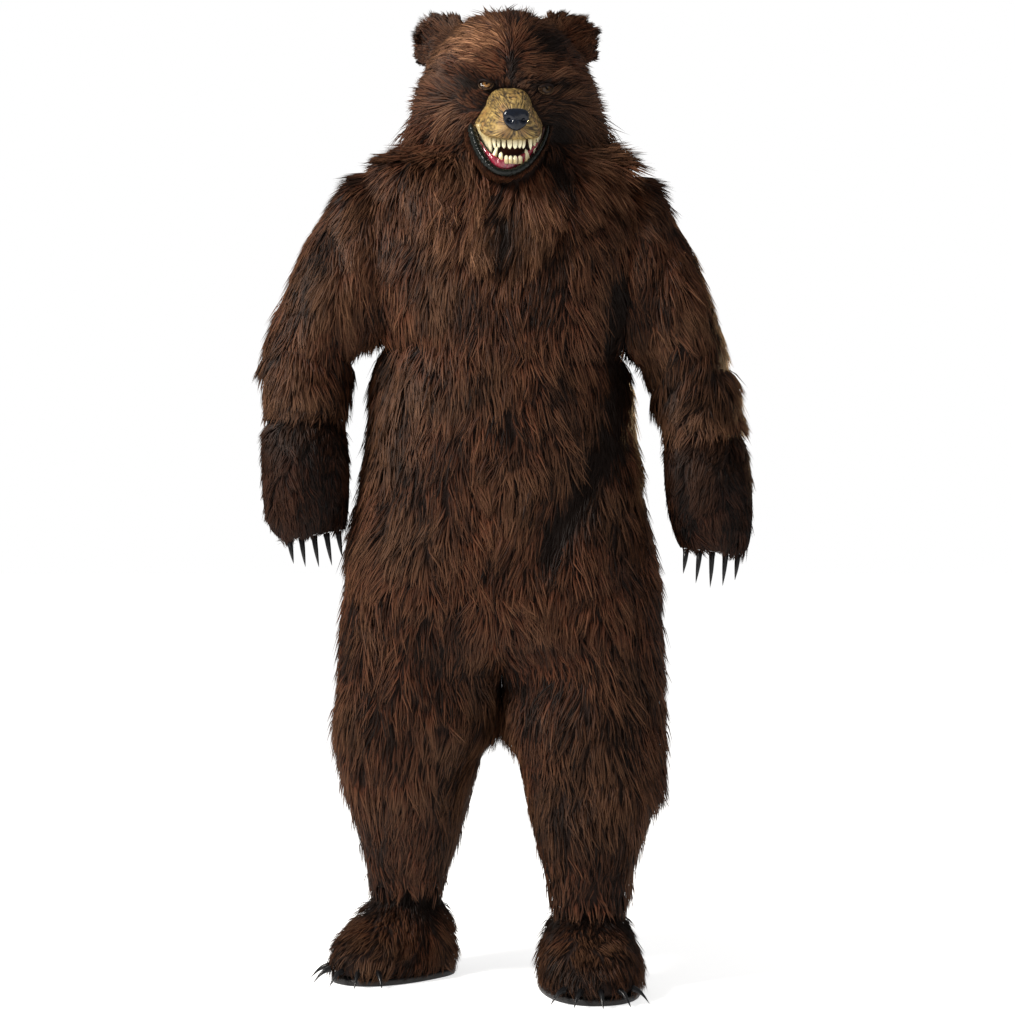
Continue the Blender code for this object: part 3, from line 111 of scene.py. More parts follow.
WORLD_LIGHT = 0.38
world = bpy.data.worlds.new("studio")
world.use_nodes = True
world.node_tree.nodes["Background"].inputs["Color"].default_value = (1.0, 1.0, 1.0, 1.0)
world.node_tree.nodes["Background"].inputs["Strength"].default_value = WORLD_LIGHT
seen_white = world.node_tree.nodes.new("ShaderNodeBackground")
seen_white.inputs["Color"].default_value = (1.0, 1.0, 1.0, 1.0)
ray = world.node_tree.nodes.new("ShaderNodeLightPath")
either = world.node_tree.nodes.new("ShaderNodeMixShader")
for output, place in (
    (ray.outputs["Is Camera Ray"], 0),
    (world.node_tree.nodes["Background"].outputs[0], 1),
    (seen_white.outputs[0], 2),
):
    world.node_tree.links.new(output, either.inputs[place])
world.node_tree.links.new(either.outputs[0], world.node_tree.nodes["World Output"].inputs["Surface"])
scene.world = world
print("camera lens", round(camera_data.lens, 1), "mm")

# %% [markdown]
# ## Shader maths as Python
# A small class wraps a socket, so that an expression on sockets adds the Math nodes it needs. One
# method makes every other node: its settings are set first, then the values or links of its inputs.


# %% The socket class
class Value:
    """A socket of one material's node tree, with Python's operators as Math nodes."""

    def __init__(self, tree, socket):
        self.tree, self.socket = tree, socket

    def maths(self, operation, *others, swap=False):
        """A Math node on this socket and others, in turned order if swap is set."""
        node = self.tree.nodes.new("ShaderNodeMath")
        node.operation = operation
        inputs = [self, *others][::-1] if swap else [self, *others]
        for place, item in enumerate(inputs):
            plug(self.tree, node.inputs[place], item)
        return Value(self.tree, node.outputs[0])

    def __add__(self, other):
        return self.maths("ADD", other)

    def __sub__(self, other):
        return self.maths("SUBTRACT", other)

    def __rsub__(self, other):
        return self.maths("SUBTRACT", other, swap=True)

    def __mul__(self, other):
        return self.maths("MULTIPLY", other)

    def __pow__(self, other):
        return self.maths("POWER", other)

    __radd__, __rmul__ = __add__, __mul__

    def within(self, low, high):
        """0 at low, 1 at high, straight between and clamped."""
        node = self.tree.nodes.new("ShaderNodeMapRange")
        for name, item in zip(("Value", "From Min", "From Max"), (self, low, high)):
            plug(self.tree, node.inputs[name], item)
        return Value(self.tree, node.outputs["Result"])


def plug(tree, socket, item):
    """Link an item into a socket, or write it there as a number or colour."""
    if isinstance(item, Value):
        tree.links.new(item.socket, socket)
    elif isinstance(item, (tuple, list)):
        socket.default_value = (*item, 1.0)[:len(socket.default_value)]
    else:
        socket.default_value = item


class Finish:
    """A named material with one Principled shader."""

    def __init__(self, name, **plain):
        self.material = bpy.data.materials.new(name)
        self.material.use_nodes = True
        self.tree = self.material.node_tree
        self.shader = self.tree.nodes["Principled BSDF"]
        for socket, item in plain.items():
            plug(self.tree, self.shader.inputs[socket.replace("_", " ")], item)

    def node(self, kind, output, settings=None, **inputs):
        """One output of a new node: its settings first, then its inputs by name."""
        node = self.tree.nodes.new(kind)
        for name, item in (settings or {}).items():
            setattr(node, name, item)
        for name, item in inputs.items():
            plug(self.tree, node.inputs[name.replace("_", " ")], item)
        return Value(self.tree, node.outputs[output])

    def place(self):
        """The piece's own coordinates in metres."""
        return self.node("ShaderNodeTexCoord", "Object")

    def attribute(self, name):
        """A number stored on the piece's points."""
        return self.node("ShaderNodeAttribute", "Fac", {"attribute_name": name})

    def noise(self, scale, detail=3.0, vector=None):
        """Smooth noise from 0 to 1, about scale lumps to a metre."""
        vector = vector or self.place()
        return self.node("ShaderNodeTexNoise", "Fac", Vector=vector, Scale=scale, Detail=detail)

    def mix(self, share, low, high):
        """A colour between two."""
        node = self.tree.nodes.new("ShaderNodeMix")
        node.data_type = "RGBA"
        for place, item in ((0, share), (6, low), (7, high)):
            plug(self.tree, node.inputs[place], item)
        return Value(self.tree, node.outputs[2])

    def set(self, socket, item):
        """Drive one of the shader's sockets."""
        plug(self.tree, self.shader.inputs[socket], item)

    def relief(self, height, distance, strength=1.0):
        """Raise the surface by a height from 0 to 1, so many metres high."""
        self.set("Normal", self.node(
            "ShaderNodeBump", "Normal", Height=height, Distance=distance, Strength=strength,
        ))


# %% [markdown]
# ## Sections
# A garment is drafted from a few measured sections. A table gives them from top to bottom, and a
# curve through its rows gives every height between, so a sleeve or a leg is a function of the
# height and of the turn round the limb. Nothing here is drawn point by point.


# %% Tables and curves
def table(names, *rows):
    """A table's columns by name: each row holds one section's values in the order of the names."""
    return dict(zip(names.split(), np.array(rows, dtype=float).T))


def read(rows, name, at_name, at):
    """A column read at other places, on straight lines between the rows."""
    order = np.argsort(rows[at_name])
    return np.interp(at, rows[at_name][order], rows[name][order])


def smooth_step(low, high, value):
    """0 below low, 1 above high, with a soft S between."""
    t = np.clip((value - low) / (high - low), 0.0, 1.0)
    return t * t * (3 - 2 * t)


def smooth_rows(values, count):
    """Values at even steps on a curve through a column (Catmull-Rom)."""
    padded = np.concatenate([[2 * values[0] - values[1]], values, [2 * values[-1] - values[-2]]])
    place = np.linspace(0, len(values) - 1, count)
    start = np.minimum(place.astype(int), len(values) - 2)
    t = place - start
    a, b, c, d = (padded[start + k] for k in range(4))
    bend = (2 * a - 5 * b + 4 * c - d) * t ** 2 + (3 * b - a - 3 * c + d) * t ** 3
    return 0.5 * (2 * b + (c - a) * t + bend)


def unit(vectors):
    """Vectors scaled to length one."""
    return vectors / np.maximum(np.linalg.norm(vectors, axis=-1, keepdims=True), 1e-9)


def around(count):
    """Even turns round a circle, the last one left out because it is the first again."""
    return np.linspace(0, 2 * math.pi, count + 1)[:-1]


def squared(value, power):
    """A sine or cosine with its corners filled out."""
    return np.sign(value) * np.abs(value) ** power


def from_line(x, z, x1, z1, x2, z2):
    """How far points are from the straight line between two ends, seen from the front."""
    dx, dz = x2 - x1, z2 - z1
    along = np.clip(((x - x1) * dx + (z - z1) * dz) / (dx * dx + dz * dz), 0.0, 1.0)
    return np.hypot(x - x1 - along * dx, z - z1 - along * dz)


# %% The jumpsuit's sections
HALF_SEAM = 0.00015
CENTRE_X = -0.012
HIP_SEAM_Z = -0.9135
CROTCH_Z = -1.075
FORK_RISE = 0.230
NECK_TOP = 0.040
CLOTH = 0.012
BACKING = 0.010
BEHIND = BACKING + 0.02
SIGN = {"left": -1, "right": 1}
AHEAD = {"front": -1, "back": 1}

TORSO = table(
    "z left right front back turn",
    (0.040, 0.118, 0.124, 0.096, 0.104, 90), (0.020, 0.142, 0.148, 0.106, 0.116, 84),
    (0.000, 0.182, 0.188, 0.116, 0.126, 74), (-0.050, 0.233, 0.237, 0.138, 0.148, 62),
    (-0.100, 0.233, 0.237, 0.162, 0.165, 56), (-0.180, 0.233, 0.237, 0.182, 0.170, 56),
    (-0.280, 0.233, 0.237, 0.195, 0.170, 60), (-0.345, 0.236, 0.240, 0.200, 0.168, 66),
    (-0.417, 0.252, 0.252, 0.204, 0.166, 74), (-0.495, 0.258, 0.256, 0.208, 0.166, 82),
    (-0.572, 0.267, 0.268, 0.212, 0.170, 88), (-0.650, 0.279, 0.274, 0.216, 0.178, 90),
    (-0.728, 0.296, 0.289, 0.219, 0.188, 90), (-0.805, 0.300, 0.303, 0.220, 0.196, 90),
    (-0.883, 0.310, 0.309, 0.218, 0.200, 90), (-0.960, 0.313, 0.313, 0.214, 0.198, 90),
    (-1.100, 0.320, 0.314, 0.206, 0.188, 90),
)
LEG = {
    "left": table(
        "z inner outer mid half",
        (-0.840, -0.012, -0.318, -0.010, 0.205), (-1.000, -0.012, -0.328, -0.008, 0.195),
        (-1.075, -0.012, -0.336, -0.006, 0.186), (-1.116, -0.032, -0.333, -0.006, 0.180),
        (-1.193, -0.060, -0.320, -0.004, 0.164), (-1.271, -0.086, -0.296, 0.000, 0.140),
        (-1.340, -0.108, -0.279, 0.006, 0.112), (-1.395, -0.121, -0.271, 0.010, 0.086),
    ),
    "right": table(
        "z inner outer mid half",
        (-0.840, -0.012, 0.291, -0.010, 0.205), (-1.000, -0.012, 0.300, -0.020, 0.195),
        (-1.075, -0.012, 0.302, -0.032, 0.186), (-1.116, 0.003, 0.301, -0.044, 0.180),
        (-1.186, 0.024, 0.300, -0.070, 0.166), (-1.259, 0.042, 0.266, -0.100, 0.142),
        (-1.330, 0.062, 0.241, -0.130, 0.112), (-1.405, 0.076, 0.226, -0.158, 0.086),
    ),
}
ARMHOLE = {
    "left": {"plane": -0.245, "z": -0.175, "half_height": 0.170, "half_depth": 0.112},
    "right": {"plane": 0.225, "z": -0.190, "half_height": 0.178, "half_depth": 0.114},
}
FOLDS = {
    "front": table(
        "x1 z1 x2 z2 depth width",
        (0.212, -0.200, 0.190, -0.520, 0.020, 0.036), (0.190, -0.520, 0.050, -0.760, 0.022, 0.040),
        (0.240, -0.760, 0.090, -0.850, 0.010, 0.028), (-0.225, -0.240, -0.215, -0.420, 0.014, 0.026),
        (-0.270, -0.980, -0.150, -1.100, 0.010, 0.028), (0.240, -1.150, 0.090, -1.190, 0.010, 0.026),
    ),
    "back": table(
        "x1 z1 x2 z2 depth width",
        (0.200, -0.240, 0.120, -0.480, 0.012, 0.032), (-0.210, -0.240, -0.130, -0.460, 0.012, 0.032),
        (-0.220, -0.960, -0.060, -1.020, 0.010, 0.030), (0.210, -0.950, 0.050, -1.015, 0.010, 0.030),
        (-0.250, -1.190, -0.110, -1.220, 0.009, 0.026), (0.230, -1.185, 0.090, -1.220, 0.009, 0.026),
    ),
}


def fold_depth(x, z, half):
    """Depth of the folds: round-sided troughs along lines, the deepest one wins."""
    depth = 0 * x
    for x1, z1, x2, z2, deep, width in zip(*FOLDS[half].values()):
        away = from_line(x, z, x1, z1, x2, z2)
        depth = np.maximum(depth, deep * np.exp(-(away / width) ** 2))
    return depth


def torso_section(z, turn, side, half, inset):
    """A quarter of the torso's section, from its centre line to its side or its armhole's edge.

    The reach grows as the sine and the depth falls as the cosine of the angle turned. In the
    armhole the section ends on the hole's oval instead of at the side.
    """
    hole = ARMHOLE[side]
    past = np.minimum(hole["z"] + hole["half_height"] - z, z - hole["z"] + hole["half_height"])
    in_hole = past > -1e-9
    cut = np.where(in_hole, np.clip(past / CLOTH, 0.0, 1.0), 0.0)
    reach = np.where(in_hole, abs(hole["plane"] - CENTRE_X), read(TORSO, side, "z", z))
    reach = reach - inset * (1 - cut)
    high = (z - hole["z"]) / (hole["half_height"] - inset)
    oval = (hole["half_depth"] - inset) * np.sqrt(np.clip(1 - high * high, 0.0, None))
    opening = np.where(in_hole, oval, 0.0)
    depth = read(TORSO, half, "z", z) - inset
    end = np.radians(read(TORSO, "turn", "z", z))
    angle = turn * end
    wide = (np.sin(angle) / np.sin(end)) ** 0.82
    deep = np.clip((np.cos(angle) - np.cos(end)) / (1 - np.cos(end)), 0.0, 1.0) ** 0.82
    return CENTRE_X + SIGN[side] * reach * wide, AHEAD[half] * (opening + (depth - opening) * deep)


def leg_section(z, turn, side, half, inset):
    """Half a leg's section, from the inseam round its front or back to its outer side."""
    rows = LEG[side]
    below_fork = smooth_step(0.0, 0.05, CROTCH_Z - z)
    inner = read(rows, "inner", "z", z) + SIGN[side] * inset * below_fork
    outer = read(rows, "outer", "z", z) - SIGN[side] * inset
    x = inner + (outer - inner) / 2 * (1 - np.cos(turn * math.pi))
    depth = (read(rows, "half", "z", z) - inset) * np.sin(turn * math.pi) ** 0.9
    return x, read(rows, "mid", "z", z) + AHEAD[half] * depth


def panel_points(z, turn, side, half, inset):
    """A panel's points: the torso's section above, the leg's below, blended over the fork."""
    torso_x, torso_y = torso_section(z, turn, side, half, inset)
    leg_x, leg_y = leg_section(z, turn, side, half, inset)
    share = smooth_step(0.0, 1.0, (CROTCH_Z + FORK_RISE - z) / FORK_RISE)
    x = torso_x + (leg_x - torso_x) * share
    y = torso_y + (leg_y - torso_y) * share
    y = y - AHEAD[half] * fold_depth(x, z, half) * np.sin(turn * math.pi) ** 0.5
    x = x + SIGN[side] * HALF_SEAM
    return np.stack([x, y + AHEAD[half] * HALF_SEAM, z + 0 * x], axis=-1)


def panel_grid(side, half, inset, part="", columns=20):
    """One quarter of the jumpsuit: its body panel down to the hip seam, or its leg panel below."""
    hole = ARMHOLE[side]
    if part == "leg_":
        fork = np.linspace(HIP_SEAM_Z - HALF_SEAM, CROTCH_Z, 8)
        z = np.concatenate([fork, np.linspace(CROTCH_Z, LEG[side]["z"][-1], 16)[1:]])
    else:
        armhole = hole["z"] + hole["half_height"] * np.cos(np.linspace(0, math.pi, 22))
        above = np.array([NECK_TOP, 0.020, armhole[0] + 0.004])
        z = np.concatenate([above, armhole, np.linspace(armhole[-1], HIP_SEAM_Z + HALF_SEAM, 27)[1:]])
    return panel_points(z[:, None], np.linspace(0, 1, columns)[None, :], side, half, inset)


# %% Sleeves and mitts
LIMB_NAMES = "out_x out_z in_x in_z mid half"
SLEEVE = {
    "left": table(
        LIMB_NAMES,
        (-0.2453, -0.005, -0.2453, -0.345, 0.000, 0.112),
        (-0.288, -0.016, -0.258, -0.348, -0.006, 0.114), (-0.336, -0.062, -0.272, -0.354, -0.008, 0.113),
        (-0.384, -0.140, -0.286, -0.366, -0.012, 0.108), (-0.418, -0.225, -0.296, -0.386, -0.018, 0.100),
        (-0.450, -0.298, -0.300, -0.411, -0.026, 0.094), (-0.472, -0.358, -0.300, -0.437, -0.034, 0.090),
        (-0.472, -0.424, -0.304, -0.462, -0.042, 0.086), (-0.468, -0.482, -0.306, -0.490, -0.050, 0.082),
    ),
    "right": table(
        LIMB_NAMES,
        (0.2253, -0.012, 0.2253, -0.368, 0.000, 0.114),
        (0.268, -0.024, 0.242, -0.378, -0.006, 0.116), (0.308, -0.078, 0.254, -0.392, -0.010, 0.114),
        (0.349, -0.157, 0.265, -0.414, -0.016, 0.109), (0.380, -0.238, 0.274, -0.440, -0.024, 0.102),
        (0.405, -0.310, 0.281, -0.464, -0.032, 0.096), (0.427, -0.382, 0.287, -0.488, -0.042, 0.092),
        (0.443, -0.452, 0.291, -0.508, -0.052, 0.088), (0.456, -0.512, 0.295, -0.528, -0.060, 0.084),
    ),
}
CREASES = table(
    "along turn depth width",
    (0.26, 60, 0.009, 0.050), (0.50, 170, 0.012, 0.050), (0.64, 100, 0.010, 0.045),
    (0.57, 270, 0.009, 0.050), (0.73, 30, 0.009, 0.036),
)
MITT = {
    "left": table(
        LIMB_NAMES,
        (-0.454, -0.436, -0.321, -0.456, -0.043, 0.067), (-0.455, -0.487, -0.319, -0.493, -0.050, 0.0684),
        (-0.467, -0.512, -0.311, -0.516, -0.053, 0.078), (-0.474, -0.550, -0.305, -0.552, -0.057, 0.081),
        (-0.473, -0.602, -0.303, -0.600, -0.061, 0.079), (-0.470, -0.652, -0.303, -0.644, -0.065, 0.072),
        (-0.462, -0.690, -0.305, -0.678, -0.068, 0.060), (-0.449, -0.715, -0.308, -0.697, -0.070, 0.044),
        (-0.432, -0.728, -0.313, -0.707, -0.071, 0.027),
    ),
    "right": table(
        LIMB_NAMES,
        (0.428, -0.458, 0.307, -0.502, -0.053, 0.068), (0.443, -0.515, 0.308, -0.527, -0.060, 0.0706),
        (0.455, -0.542, 0.300, -0.554, -0.063, 0.080), (0.464, -0.582, 0.297, -0.590, -0.067, 0.082),
        (0.468, -0.636, 0.300, -0.638, -0.071, 0.079), (0.468, -0.682, 0.306, -0.680, -0.074, 0.072),
        (0.465, -0.716, 0.314, -0.708, -0.077, 0.060), (0.460, -0.740, 0.321, -0.729, -0.079, 0.044),
        (0.451, -0.754, 0.328, -0.742, -0.080, 0.027),
    ),
}


def limb_grid(rows, count, turns, inset):
    """Oval rings across a limb: the long axis joins its two sides, the other runs in depth."""
    out_x, out_z, in_x, in_z, mid, half = (smooth_rows(rows[n], count)[:, None] for n in LIMB_NAMES.split())
    reach_x, reach_z = (out_x - in_x) / 2, (out_z - in_z) / 2
    length = np.hypot(reach_x, reach_z)
    share = (length - inset) / length
    x = (out_x + in_x) / 2 + reach_x * share * np.cos(turns)
    y = mid - (half - inset) * np.sin(turns)
    z = (out_z + in_z) / 2 + reach_z * share * np.cos(turns)
    return np.stack([x, y, z], axis=-1)


def sleeve_grid(side, inset, count=46, columns=33):
    """A sleeve, a tube from the armhole to its cuff, pulled in by its creases."""
    turns = np.linspace(0, 2 * math.pi, columns)[None, :]
    grid = limb_grid(SLEEVE[side], count, turns, inset)
    along = np.linspace(0, 1, count)[:, None]
    depth = np.zeros((count, columns))
    for place, turn, deep, width in zip(*CREASES.values()):
        round_way = np.clip(np.cos(turns - math.radians(turn)), 0.0, 1.0) ** 2
        depth = np.maximum(depth, deep * np.exp(-((along - place) / width) ** 2) * round_way)
    return grid - unit(grid - grid.mean(axis=1, keepdims=True)) * depth[..., None]


def mitt_grid(side, half, inset, count=24, columns=20):
    """Half a mitt: the furred back of the hand in front, or the palm behind, with a flat end."""
    turns = -AHEAD[half] * np.linspace(0, math.pi, columns)[None, :]
    grid = limb_grid(MITT[side], count, turns, inset)
    grid[..., 2] += (inset * np.linspace(0, 1, count) ** 3)[:, None]
    chord = grid[-1:].copy()
    chord[..., 1] = MITT[side]["mid"][-1]
    grid = np.concatenate([grid, chord])
    grid[..., 1] += AHEAD[half] * HALF_SEAM
    return grid


# %% Feet
FOOT = {
    "left": {"x": -0.196, "y": 0.010, "toes": -38.0, "hem": -1.395},
    "right": {"x": 0.151, "y": -0.158, "toes": 5.0, "hem": -1.405},
}
FOOT_ROWS = table(
    "height front back half",
    (0.012, 0.178, 0.078, 0.090), (0.028, 0.190, 0.085, 0.097), (0.055, 0.188, 0.086, 0.098),
    (0.083, 0.162, 0.084, 0.092), (0.106, 0.122, 0.080, 0.083), (0.126, 0.090, 0.074, 0.073),
    (0.144, 0.068, 0.066, 0.065),
)
SHAFT_RADIUS = 0.0622


def foot_ring(foot, front, back, half, height, turns):
    """A level ring of a foot cover: an egg shape, longer in front, turned with the toes."""
    cosine, sine = np.cos(turns), np.sin(turns)
    ahead = np.where(cosine > 0, front, back) * squared(cosine, 0.87)
    aside = half * squared(sine, 0.87)
    toes = math.radians(foot["toes"])
    x = foot["x"] + ahead * math.sin(toes) + aside * math.cos(toes)
    y = foot["y"] - ahead * math.cos(toes) + aside * math.sin(toes)
    return np.stack([x, y, FLOOR + height + 0 * x], axis=-1)


def foot_grid(side, inset, count=20, columns=41):
    """A foot cover's upper, from the sole to the top of its shaft inside the leg."""
    foot = FOOT[side]
    hem = foot["hem"] - FLOOR
    rows = {name: np.concatenate([column, [SHAFT_RADIUS] * 3]) for name, column in FOOT_ROWS.items()}
    rows["height"][-3:] = (hem - 0.012, hem + 0.015, hem + 0.045)
    names = ("front", "back", "half", "height")
    front, back, half, height = (smooth_rows(rows[name], count)[:, None] for name in names)
    turns = np.linspace(0, 2 * math.pi, columns)[None, :]
    return foot_ring(foot, front - inset, back - inset, half - inset, height, turns)


# %% Mask, ears and ruff
HEAD_X = -0.003
HEAD = table(
    "z half front back",
    (0.030, 0.170, 0.150, 0.152), (0.058, 0.176, 0.156, 0.160), (0.087, 0.178, 0.158, 0.164),
    (0.126, 0.172, 0.157, 0.163), (0.165, 0.160, 0.150, 0.156), (0.204, 0.143, 0.134, 0.142),
    (0.235, 0.121, 0.112, 0.122), (0.262, 0.092, 0.084, 0.092), (0.282, 0.057, 0.052, 0.056),
    (0.292, 0.026, 0.024, 0.025), (0.295, 0.000, 0.000, 0.000),
)
EAR = {
    "left": {"top": 0.268, "low": 0.196, "reach": 0.060, "tilt": 38},
    "right": {"top": 0.272, "low": 0.200, "reach": 0.062, "tilt": 40},
}
EAR_DEPTH = 0.012
EAR_CLOTH = 0.020
RUFF_SIDE_HEM = 0.007
RUFF_DROP = {"front": 0.172, "back": 0.130}
RUFF_CLOTH = 0.014


def head_reach(z, name, inset=0.0):
    """Half width or depth of the mask at heights z."""
    return np.clip(read(HEAD, name, "z", z) - inset, 0.0, None)


def head_front(x, z):
    """How far forward the mask's face is, for points seen from the front."""
    across = np.clip(np.abs(x - HEAD_X) / head_reach(z, "half"), 0.0, 0.98)
    return head_reach(z, "front") * np.sqrt(1 - across ** 2)


def mask_grid(side, inset, levels=30, columns=40):
    """Half the mask's shell, from its open end to the crown: ovals that shrink to a point."""
    rise = np.sin(np.linspace(0, math.pi / 2, levels))[:, None]
    turns = np.linspace(0, math.pi, columns)[None, :]
    z = HEAD["z"][0] + (HEAD["z"][-1] - HEAD["z"][0]) * rise
    wide = head_reach(z, "half", inset)
    x = HEAD_X + SIGN[side] * (wide * np.sin(turns) + HALF_SEAM)
    depth = np.where(np.cos(turns) > 0, head_reach(z, "front", inset), head_reach(z, "back", inset))
    return np.stack([x, -depth * np.cos(turns), z - inset * rise ** 3 + 0 * x], axis=-1)


def ear_grid(side, face, thinner, shorter, columns=24, rows=12):
    """One face of an ear, cupped forwards: face is -1 in front and 1 behind.

    The two faces meet along the rim and at both ends of the root.
    """
    place = EAR[side]
    along = np.linspace(0, 1, columns)[None, :]
    out = np.linspace(0, 1, rows)[:, None]
    depth = face * (EAR_CLOTH / 2 - thinner) * np.sin(math.pi * along) ** 0.3
    z = place["top"] + (place["low"] - place["top"]) * along
    across = 1 - ((EAR_DEPTH + depth) / head_reach(z, "back")) ** 2
    foot_x = head_reach(z, "half") * np.sqrt(np.clip(across, 0.05, 1.0)) + 0.0012
    height = (place["reach"] - shorter) * np.sin(math.pi * (0.08 + 0.84 * along)) ** 0.55
    tilt = math.radians(place["tilt"])
    flare = (along - 0.5) * 0.020 * out
    x = foot_x + height * out * math.cos(tilt) + flare * math.sin(tilt)
    rise = height * out * math.sin(tilt) - flare * math.cos(tilt)
    cup = 0.016 * np.sin(math.pi * along) * out * (1.6 - out)
    y = EAR_DEPTH + depth * (1 - out ** 3) + cup
    return np.stack([HEAD_X + SIGN[side] * x, y, z + rise], axis=-1)


def ruff_grid(inset, rows=16, columns=18):
    """The mask's skirt, from its open end over the shoulders to a hem on the chest and back.

    Its hem lies on the jumpsuit panels' own points, moved out, lowest at the front and back.
    """
    steps = np.arange(columns) / columns
    quarters = [
        ("left", "front", steps), ("left", "back", 1 - steps),
        ("right", "back", steps), ("right", "front", 1 - steps),
    ]
    share = np.linspace(0, 1, rows)[:, None]
    top_z = HEAD["z"][0] - 0.0003
    parts = []
    for side, half, turn in quarters:
        turn = turn[None, :]
        hem_z = RUFF_SIDE_HEM - RUFF_DROP[half] * np.cos(turn * math.pi / 2) ** 2
        z = top_z + (hem_z - top_z) * share
        body = panel_points(z, turn, side, half, 0.0)
        away = unit(body[-1:, :, :2] - np.array([CENTRE_X, 0.0]))
        angle = turn * math.pi / 2
        belly = 0.016 * np.sin(math.pi * share) * turn
        clear = 0.0006 + 0.007 * np.sin(math.pi * share) + 0.052 * turn ** 3 * share ** 2
        over = clear + CLOTH + (RUFF_CLOTH - CLOTH) * share - inset
        top_x = HEAD_X + SIGN[side] * head_reach(top_z, "half", inset) * np.sin(angle)
        top_y = AHEAD[half] * head_reach(top_z, half, inset) * np.cos(angle)
        hem_x = body[-1:, :, 0] + away[..., 0] * over
        hem_y = body[-1:, :, 1] + away[..., 1] * over
        x = top_x + (hem_x - top_x) * share + away[..., 0] * belly
        y = top_y + (hem_y - top_y) * share + away[..., 1] * belly
        needed = np.hypot(body[..., 0] + away[..., 0] * over - CENTRE_X, body[..., 1] + away[..., 1] * over)
        grow = np.maximum(np.where(share > 0, needed, 0.0) / np.hypot(x - CENTRE_X, y), 1.0)
        parts.append(np.stack([CENTRE_X + (x - CENTRE_X) * grow, y * grow, z + 0 * x], axis=-1))
    return np.concatenate([*parts, parts[0][:, :1]], axis=1)


print("sections ready, body panel grid", panel_grid("left", "front", 0.0).shape)

# %% [markdown]
# ## Cloth shells
# Each cut piece of the jumpsuit, mitts, foot covers and mask is a thin backing cloth that carries
# the pile. A grid of points becomes a sheet, its doubled points are merged, and Solidify gives it
# its thickness inwards. The backing lies a pile's depth inside the solid, whose outer face is the
# mean outline of the pile.


# %% From a grid to a sheet
def keep_number(mesh, name, values):
    """Store one number for each of a mesh's points, for its finish to read."""
    attribute = mesh.attributes.new(name, "FLOAT", "POINT")
    attribute.data.foreach_set("value", values.astype(np.float32).ravel())


def face_outwards(mesh, merge=0.0, dissolve=0.0):
    """Merge a mesh's doubled points where asked, turn its faces outwards and shade it smooth."""
    work = bmesh.new()
    work.from_mesh(mesh)
    if merge:
        bmesh.ops.remove_doubles(work, verts=work.verts, dist=merge)
        bmesh.ops.dissolve_degenerate(work, edges=work.edges, dist=dissolve)
    bmesh.ops.recalc_face_normals(work, faces=work.faces)
    work.to_mesh(mesh)
    work.free()
    mesh.shade_smooth()
    return mesh


def grid_mesh(name, grid, merge=0.00005, dissolve=0.00002, **numbers):
    """A mesh through a grid of points, merged where its edges or a pole meet, facing outwards."""
    corner = np.arange(grid.shape[0] * grid.shape[1]).reshape(grid.shape[:2])
    quads = np.stack([corner[:-1, :-1], corner[:-1, 1:], corner[1:, 1:], corner[1:, :-1]], axis=-1)
    mesh = bpy.data.meshes.new(name)
    mesh.from_pydata(grid.reshape(-1, 3), [], quads.reshape(-1, 4))
    for label, values in numbers.items():
        keep_number(mesh, label, values)
    return face_outwards(mesh, merge, dissolve)


def show(name, mesh, finish, slot, *replaced):
    """A shown piece on the one body, with its finish and the solids that it stands for."""
    piece = bpy.data.objects.new(name, mesh)
    scene.collection.objects.link(piece)
    mesh.materials.clear()
    mesh.materials.append(finish.material)
    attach(piece, "root")
    if replaced:
        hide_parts(*replaced)
    return piece


def cell_areas(grid):
    """Area of each cell of a grid in square metres, from its two edges at one corner."""
    across = grid[:-1, 1:] - grid[:-1, :-1]
    down = grid[1:, :-1] - grid[:-1, :-1]
    return np.linalg.norm(np.cross(across, down), axis=-1)


def backing(name, grid, finish, slot, thickness=0.002):
    """A cloth shell from a grid: the sheet, thickened inwards, in place of the solid of its name."""
    piece = show(name + "_cloth", grid_mesh(name + "_cloth", grid), finish, slot, name)
    solid = piece.modifiers.new("thickness", "SOLIDIFY")
    solid.thickness = thickness
    solid.offset = -1
    return piece


# %% [markdown]
# ## Pile
# Long-pile cloth is thousands of fine fibres that lie in one direction and stick together in
# locks. Hair curves would look right but can't be exported, so each lock is a small closed body of
# six triangles, bent at a knee. The locks of a piece are scattered over its backing, combed along a
# direction, drawn together at their tips in clumps of two sizes, and joined in one mesh. Each point
# keeps how far along its lock it is and one number of its lock, which the finish reads: the lock's
# own random colour together with painted shade and, in a few places, painted light.


# %% Repeatable random numbers in space
def scramble(cells, seed):
    """Three numbers from 0 to 1 for each whole-number cell: the broken-off part of a large sine."""
    mixed = cells @ np.array([[127.1, 269.5, 113.5], [311.7, 183.3, 271.9], [74.7, 246.1, 124.6]])
    return np.modf(np.abs(np.sin(mixed + seed) * 43758.5453))[0]


def clump(points, size, seed):
    """The nearest of the points strewn one to a cube of this size, with a number of its own."""
    home = np.floor(points / size)
    near = np.full(len(points), np.inf)
    found, own = np.zeros_like(points), np.zeros(len(points))
    for step in itertools.product((-1, 0, 1), repeat=3):
        cell = home + np.array(step)
        place = (cell + scramble(cell, seed)) * size
        away = np.linalg.norm(place - points, axis=1)
        nearer = away < near
        near = np.where(nearer, away, near)
        found[nearer] = place[nearer]
        own[nearer] = scramble(cell, seed + 1)[nearer, 0]
    return found, own


def drift(points, size, seed):
    """Smooth random vectors from -1 to 1, blended between the corners of cubes of this size."""
    home = np.floor(points / size)
    share = points / size - home
    share = share * share * (3 - 2 * share)
    total = np.zeros_like(points)
    for step in itertools.product((0, 1), repeat=3):
        weight = np.prod(np.where(np.array(step) == 1, share, 1 - share), axis=1, keepdims=True)
        total += weight * (2 * scramble(home + np.array(step), seed) - 1)
    return total


